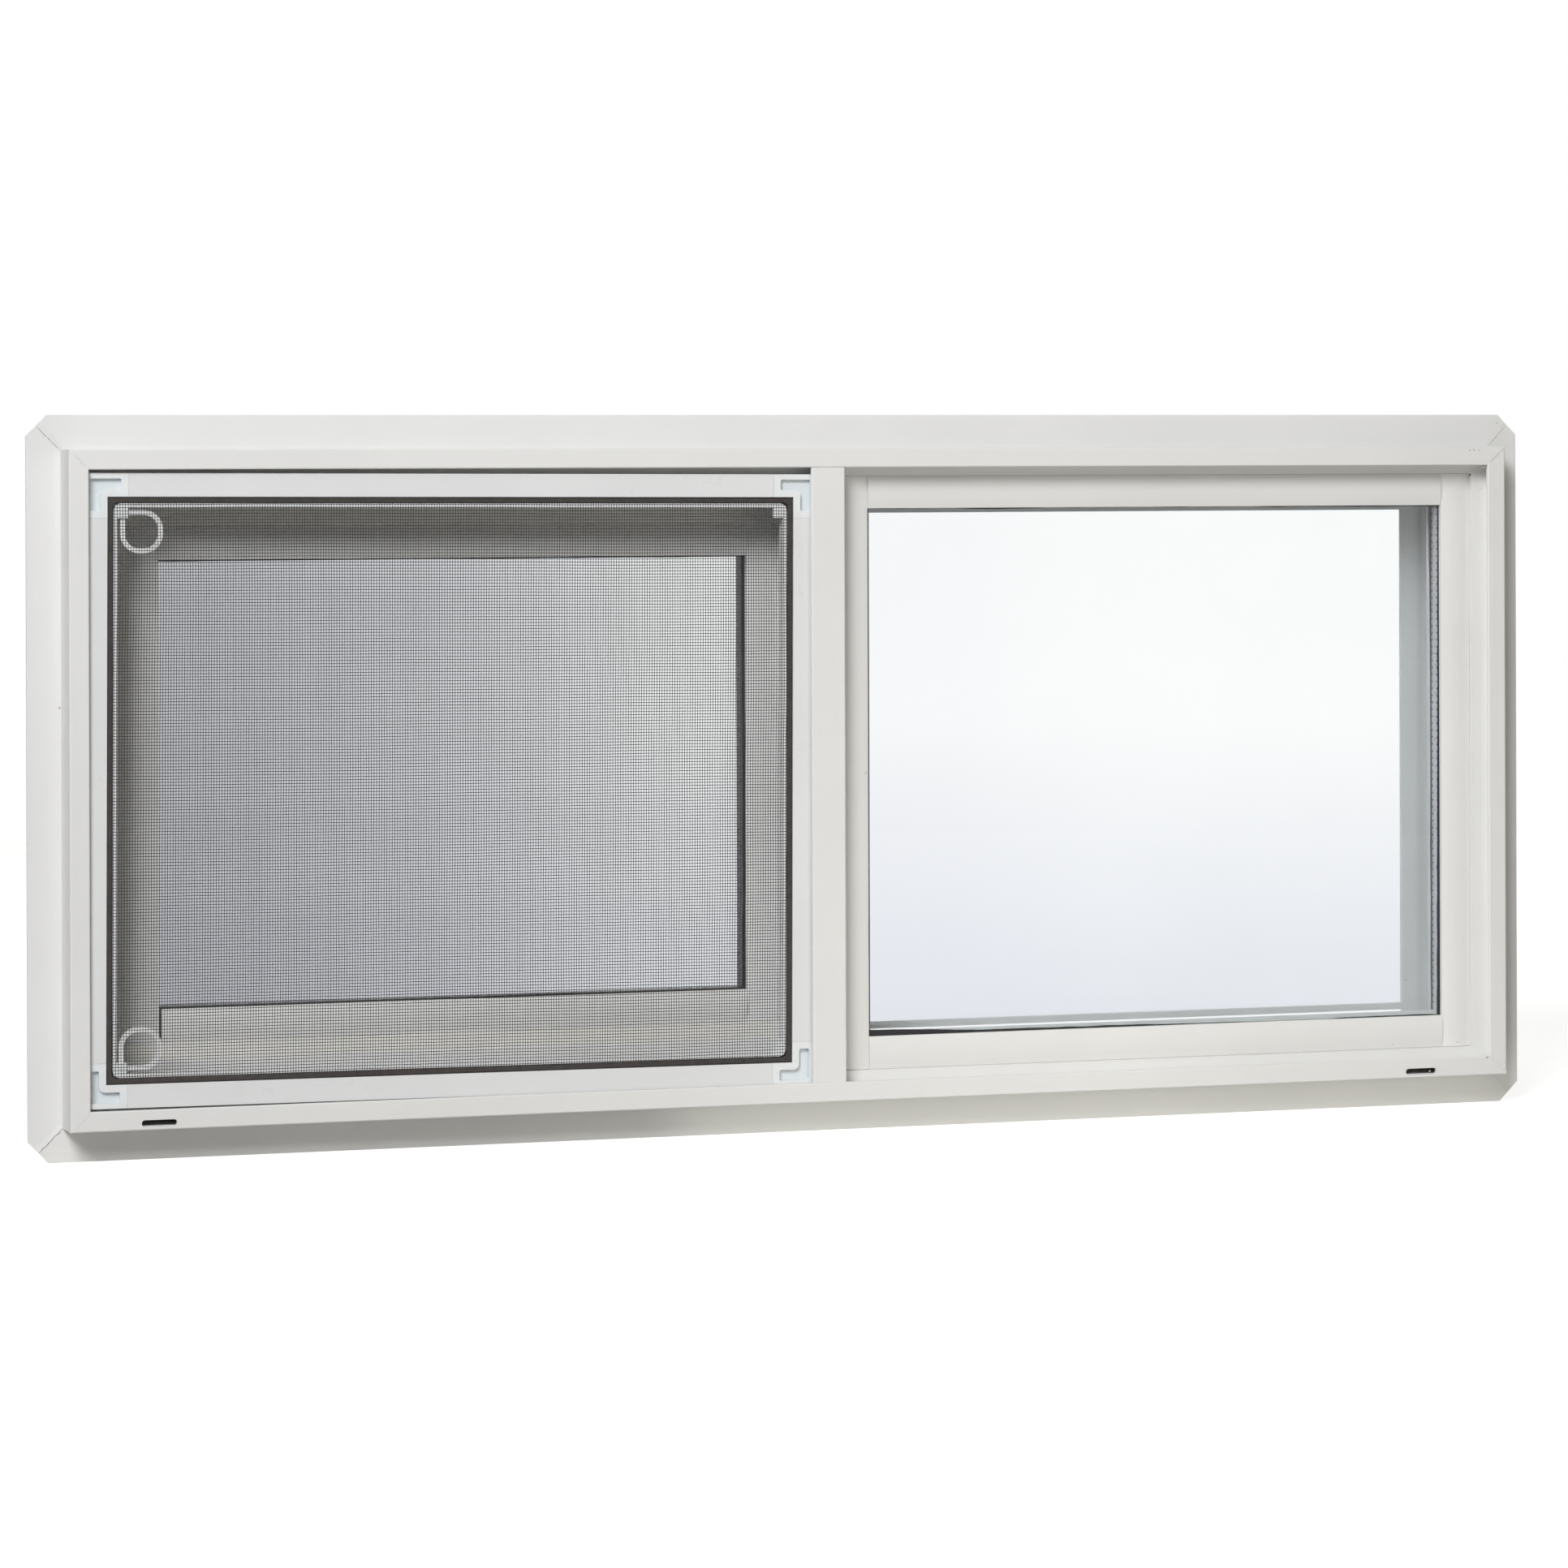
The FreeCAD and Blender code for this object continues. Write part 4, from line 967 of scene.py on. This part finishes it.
class WINDOW_OT_tape(bpy.types.Operator):
    """Lay the glazing tape with its ragged edge"""

    bl_idname = "window.tape"
    bl_label = "Glazing tape"

    def execute(self, context):
        black = rubber("glazing_tape", context.scene.window_glazing.tape, (0.10, 0.10, 0.10))
        # How far the tape shows past the bead, in millimetres, at shares of each side's length
        fixed = {
            "bottom": ((0, 3.4), (0.07, 2.8), (0.13, 2.1), (0.19, 1.2), (0.45, 0.9), (0.5, 0.6), (0.62, 0.3),
                       (0.68, 0.05), (0.8, 0.1), (0.86, 0.6), (0.97, 0.7), (1, 0.4)),
            "right": ((0, 1.7), (0.3, 1.3), (0.6, 0.9), (1, 0.6)),
            "top": ((0, 0.25), (0.15, 0.2), (0.18, 0.65), (0.28, 0.6), (0.32, 0.2), (0.66, 0.2), (0.72, 0.55),
                    (1, 0.6)),
            "left": ((0, 0.7), (0.06, 0.8), (0.2, 1.2), (0.3, 0.7), (0.75, 0.4), (0.9, 1.0), (1, 1.1)),
        }
        sash = {
            "bottom": ((0, 0.8), (0.4, 0.5), (0.8, 0.7), (1, 0.7)),
            "right": ((0, 0.8), (0.5, 0.9), (1, 1.2)),
            "top": ((0, 0.9), (0.08, 0.75), (0.2, 0.3), (0.5, 0.35), (0.75, 0.8), (1, 0.7)),
            "left": ((0, 0.05), (1, 0.05)),
        }
        for light, widths, body in (("fixed", fixed, "frame"), ("sash", sash, "sash")):
            node = light + "_glazing_tape"
            points = tape_points(node, light + "_bead", widths)
            build(light + "_tape_ragged", points, hoop(points), black, body, [node])
        return {"FINISHED"}


class WINDOW_OT_screen(bpy.types.Operator):
    """Finish the screen's bars, corner keys and pulls"""

    bl_idname = "window.screen"
    bl_label = "Screen bars, keys and pulls"

    def execute(self, context):
        look, grime = context.scene.window_screen, context.scene.window_vinyl.grime
        for way, run, ends in (("level", "X", ("top", "bottom")), ("upright", "Z", ("left", "right"))):
            names = [f"screen_bar_{end}" for end in ends]
            finish_nodes(painted(f"screen_{way}_paint", look.bar, run, grime), names)
        keys = [f"screen_corner_{a}_{b}" for a in ("top", "bottom") for b in ("left", "right")]
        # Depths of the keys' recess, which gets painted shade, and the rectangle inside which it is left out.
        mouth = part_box("screen_corner_top_left")[0][1]
        recess = (mouth + 0.4 * MM, mouth + 2.2 * MM)
        centre, half, _, _, _ = screen_plan()
        middle, clear = (centre[0], centre[2]), half - 2 * MM
        finish_nodes(moulded("screen_key_plastic", look.key, grime, 0.36, 0.1, recess, middle, clear), keys)
        pulls = ["screen_pull_upper", "screen_pull_lower"]
        finish_nodes(moulded("pull_plastic", look.pull, grime, 0.34, 0.1), pulls)
        return {"FINISHED"}


class WINDOW_OT_insect_mesh(bpy.types.Operator):
    """Weave the insect mesh from its wires"""

    bl_idname = "window.insect_mesh"
    bl_label = "Insect mesh"

    def execute(self, context):
        coat = wire_coat("mesh_coat", context.scene.window_screen.wire)
        for name, upright in (("mesh_upright_wires", True), ("mesh_level_wires", False)):
            points = mesh_wires(upright)
            made = build(name, points, tubes(points), coat, "frame", ["screen_mesh"])
            made.visible_shadow = False
        points = stub_points()
        build("mesh_cut_ends", points, tubes(points), coat, "frame")
        return {"FINISHED"}


class WINDOW_OT_spline(bpy.types.Operator):
    """Press the spline into its groove"""

    bl_idname = "window.spline"
    bl_label = "Screen spline"

    def execute(self, context):
        cord = rubber("spline_rubber", context.scene.window_screen.spline, (0.22, 0.21, 0.20))
        points = spline_points()
        build("screen_spline_cord", points, hoop(points), cord, "frame", ["screen_spline"])
        return {"FINISHED"}


class WINDOW_OT_joints(bpy.types.Operator):
    """Draw the hairline joints between the screen's bars and corner keys"""

    bl_idname = "window.joints"
    bl_label = "Screen joints"

    def execute(self, context):
        points = joint_points()
        dust = rubber("joint_shadow", context.scene.window_screen.joint, (0.5, 0.5, 0.5))
        build("screen_joints", points, tubes(points), dust, "frame")
        return {"FINISHED"}


class WINDOW_OT_bead_dust(bpy.types.Operator):
    """Lay the dirt caught in the joint round the fixed pane's beads"""

    bl_idname = "window.bead_dust"
    bl_label = "Dirt round the beads"

    def execute(self, context):
        points = dust_points()
        dirt = joint_dust("bead_dust")
        build("fixed_bead_dust", points, hoop(points), dirt, "frame", smooth=False)
        return {"FINISHED"}


class WINDOW_OT_welds(bpy.types.Operator):
    """Run the weld seams along the frame's mitres"""

    bl_idname = "window.welds"
    bl_label = "Weld seams"

    def execute(self, context):
        look = context.scene.window_vinyl
        white = vinyl("weld_vinyl", shade(look.frame, 0.98), "X", look.grime, 0.8)
        dark = rubber("weld_crack", context.scene.window_weld.crack, (0.3, 0.28, 0.25))
        seams, cracks = seam_points()
        for corner, points in seams.items():
            build("weld_" + corner, points, tubes(points), white, "frame", smooth=False)
        build("weld_cracks", cracks, tubes(cracks), dark, "frame", smooth=False)
        # Grit: dark crumbs that are dirt and painted shade of the weld chips' edges, and dirt marks.
        grit = rubber("weld_grit", context.scene.window_weld.grit, (0.5, 0.47, 0.42))
        finishes = {"vinyl": white, "grit": grit, "crack": dark}
        for name, points in crumb_points().items():
            material = finishes[name.rsplit("_", 1)[1]]
            build(name, points, tubes(points), material, "frame", smooth=False)
        return {"FINISHED"}


class WINDOW_OT_stage(bpy.types.Operator):
    """Lay the floor, hang the lamps and set the camera"""

    bl_idname = "window.stage"
    bl_label = "Stage"

    def execute(self, context):
        look, scene = context.scene.window_stage, context.scene
        scene.view_settings.view_transform = "Standard"
        self.floor(look)
        self.world(scene, look)
        self.lamps(scene, look)
        self.camera(scene, look)
        return {"FINISHED"}

    def floor(self, look):
        """A disc: radius times the cosine and sine of an angle, on the level of the window's lowest edge."""
        turn = np.linspace(0, 2 * np.pi, 96, endpoint=False)
        rim = np.stack([np.cos(turn), np.sin(turn), 0 * turn], axis=-1) * look.radius
        rim[:, 2] = CAD_BOX[0][2]
        mesh = bpy.data.meshes.new("floor")
        mesh.from_pydata(rim.tolist(), [], [list(range(len(turn)))])
        disc = bpy.data.objects.new("floor", mesh)
        bpy.context.scene.collection.objects.link(disc)
        made = Finish("floor_paper", look.floor, 0.9, 0.0)
        grain = made.noise(240.0, 3.0)
        made.link(made.blend(grain, shade(look.floor, 0.99), look.floor), made.shader.inputs["Base Color"])
        total, rays = made.seen()
        made.shader.inputs["Emission Color"].default_value = (1, 1, 1, 1)
        made.link(made.math("MULTIPLY", total, look.floor_white), made.shader.inputs["Emission Strength"])
        made.let_through(rays["Is Transmission Ray"])
        mesh.materials.append(made.material)

    def world(self, scene, look):
        """White where it is seen, a plain fill where it lights."""
        world = bpy.data.worlds.new("studio")
        scene.world = world
        world.use_nodes = True
        made = Nodes(world.node_tree)
        output, background = made.node("ShaderNodeOutputWorld"), made.node("ShaderNodeBackground")
        total, rays = made.seen()
        shown = made.blend(rays["Is Transmission Ray"], (1, 1, 1), self.backdrop(made))
        lit = tuple(c * look.fill for c in look.fill_tint)
        made.link(made.blend(total, lit, shown), background.inputs["Color"])
        made.link(background.outputs["Background"], output.inputs["Surface"])

    def backdrop(self, made):
        """What the panes show behind them: a paper roll that pales towards the right, and greys towards the
        floor as painted shadow of the window on the floor behind it, by the direction's sideways and upward
        parts, and an even pale tone on the other side."""
        way = made.node("ShaderNodeTexCoord").outputs["Generated"]
        black, white = (0.0, 0.0, 0.0), (1.0, 1.0, 1.0)

        def ramp(letter, low, high, stops):
            line = made.node("ShaderNodeValToRGB")
            elements = line.color_ramp.elements
            elements.remove(elements[0])
            elements[0].position, elements[0].color = stops[0][0], (*stops[0][1], 1.0)
            for place, tone in stops[1:]:
                elements.new(place).color = (*tone, 1.0)
            made.link(made.span(made.split(way, letter), low, high), line.inputs["Fac"])
            return line.outputs["Color"]

        side = ramp("X", 0.15, 0.40, ((0.2, (0.53, 0.53, 0.565)), (0.42, (0.745, 0.745, 0.78)), (0.58, white),
                                      (0.68, (0.95, 0.95, 0.97)), (0.85, white)))
        # Painted shadow of the window on the floor behind: greyer for directions further down.
        height = ramp("Z", -0.12, 0.0, ((0.1, (0.74, 0.76, 0.82)), (0.3, (0.84, 0.85, 0.90)), (0.6, white)))
        share = ramp("X", 0.26, 0.34, ((0.0, (0.5, 0.5, 0.5)), (1.0, white)))
        ahead = ramp("Y", 0.4, 0.8, ((0.0, black), (1.0, white)))
        return made.blend(ahead, (0.88, 0.89, 0.91), made.blend(share, side, height, "MULTIPLY"))

    def lamps(self, scene, look):
        """Area lamps: name, power, colour, width and height, place, and the point it is aimed at."""
        for name, watts, tint, (wide, tall), place, aim in (
            ("key_lamp", look.key, (1, 1, 1), (1.5, 1.5), (-2.0, -2.85, 2.35), (-0.05, 0.0, 0.16)),
            ("bounce_card", look.bounce, (1, 0.98, 0.88), (0.3, 0.3), (0.15, -0.36, 0.01), (0.15, 0, -0.02)),
            ("side_card", look.side, (1, 0.96, 0.86), (0.6, 0.6), (0.55, -0.75, 0.02), (0.2, 0.0, 0.0)),
            ("top_strip", look.top, (1, 1, 1), (0.85, 0.03), (0.0, -0.08, 0.45), (0.0, 0.0, 0.37)),
            ("floor_glow", look.strip, (1, 1, 0.90), (0.52, 0.008), (0.19, -0.0245, 0.0), (0.19, 0.0, 0.0)),
            ("back_lamp", look.back, (1, 1, 1), (1.4, 1.4), (1.9, 2.3, 0.9), (0.0, 0.0, 0.16)),
        ):
            data = bpy.data.lights.new(name, "AREA")
            data.energy, data.color, data.shape = watts, tint, "RECTANGLE"
            data.size, data.size_y = wide, tall
            lamp = bpy.data.objects.new(name, data)
            lamp.location = place
            lamp.rotation_mode = "QUATERNION"
            lamp.rotation_quaternion = (Vector(aim) - Vector(place)).to_track_quat("-Z", "Y")
            lamp.visible_camera = False
            lamp.visible_glossy = lamp.visible_transmission = name == "key_lamp"
            scene.collection.objects.link(lamp)

    def camera(self, scene, look):
        """Level view from the left: right, up and backward as columns, with a small roll."""
        right = Vector((math.cos(CAMERA_YAW), -math.sin(CAMERA_YAW), 0))
        up = Vector((0, 0, 1))
        ahead = Vector((math.sin(CAMERA_YAW), math.cos(CAMERA_YAW), 0))
        level = math.cos(CAMERA_ROLL) * right + math.sin(CAMERA_ROLL) * up
        plumb = math.cos(CAMERA_ROLL) * up - math.sin(CAMERA_ROLL) * right
        data = bpy.data.cameras.new("camera")
        data.sensor_width, data.lens, data.shift_y = 36.0, look.focal, look.shift
        data.dof.use_dof = False
        view = bpy.data.objects.new("camera", data)
        turn = Matrix((level, plumb, -ahead)).transposed().to_4x4()
        view.matrix_world = Matrix.Translation(CAMERA_PLACE) @ turn
        scene.collection.objects.link(view)
        scene.camera = view


OPERATORS = (
    WINDOW_OT_vinyl,
    WINDOW_OT_hardware,
    WINDOW_OT_panes,
    WINDOW_OT_spacer,
    WINDOW_OT_tape,
    WINDOW_OT_screen,
    WINDOW_OT_insect_mesh,
    WINDOW_OT_spline,
    WINDOW_OT_joints,
    WINDOW_OT_bead_dust,
    WINDOW_OT_welds,
    WINDOW_OT_stage,
)


class WINDOW_PT_looks(bpy.types.Panel):
    """Lists the pieces that can be made"""

    bl_label = "Sliding window"
    bl_idname = "WINDOW_PT_looks"
    bl_space_type = "VIEW_3D"
    bl_region_type = "UI"
    bl_category = "Window"

    def draw(self, context):
        for operator in OPERATORS:
            self.layout.operator(operator.bl_idname)
        for name in GROUPS:
            box = self.layout.box()
            group = getattr(context.scene, name)
            for key in group.bl_rna.properties.keys()[2:]:
                box.prop(group, key)


def register():
    for group in GROUPS.values():
        bpy.utils.register_class(group)
    for name, group in GROUPS.items():
        setattr(bpy.types.Scene, name, PointerProperty(type=group))
    for operator in OPERATORS:
        bpy.utils.register_class(operator)
    bpy.utils.register_class(WINDOW_PT_looks)


def unregister():
    bpy.utils.unregister_class(WINDOW_PT_looks)
    for operator in reversed(OPERATORS):
        bpy.utils.unregister_class(operator)
    for name, group in GROUPS.items():
        delattr(bpy.types.Scene, name)
        bpy.utils.unregister_class(group)


def main():
    register()
    bpy.ops.window.vinyl()
    bpy.ops.window.hardware()
    bpy.ops.window.panes()
    bpy.ops.window.spacer()
    bpy.ops.window.tape()
    bpy.ops.window.screen()
    bpy.ops.window.insect_mesh()
    bpy.ops.window.spline()
    bpy.ops.window.joints()
    bpy.ops.window.bead_dust()
    bpy.ops.window.welds()
    bpy.ops.window.stage()


if __name__ == "__main__":
    main()
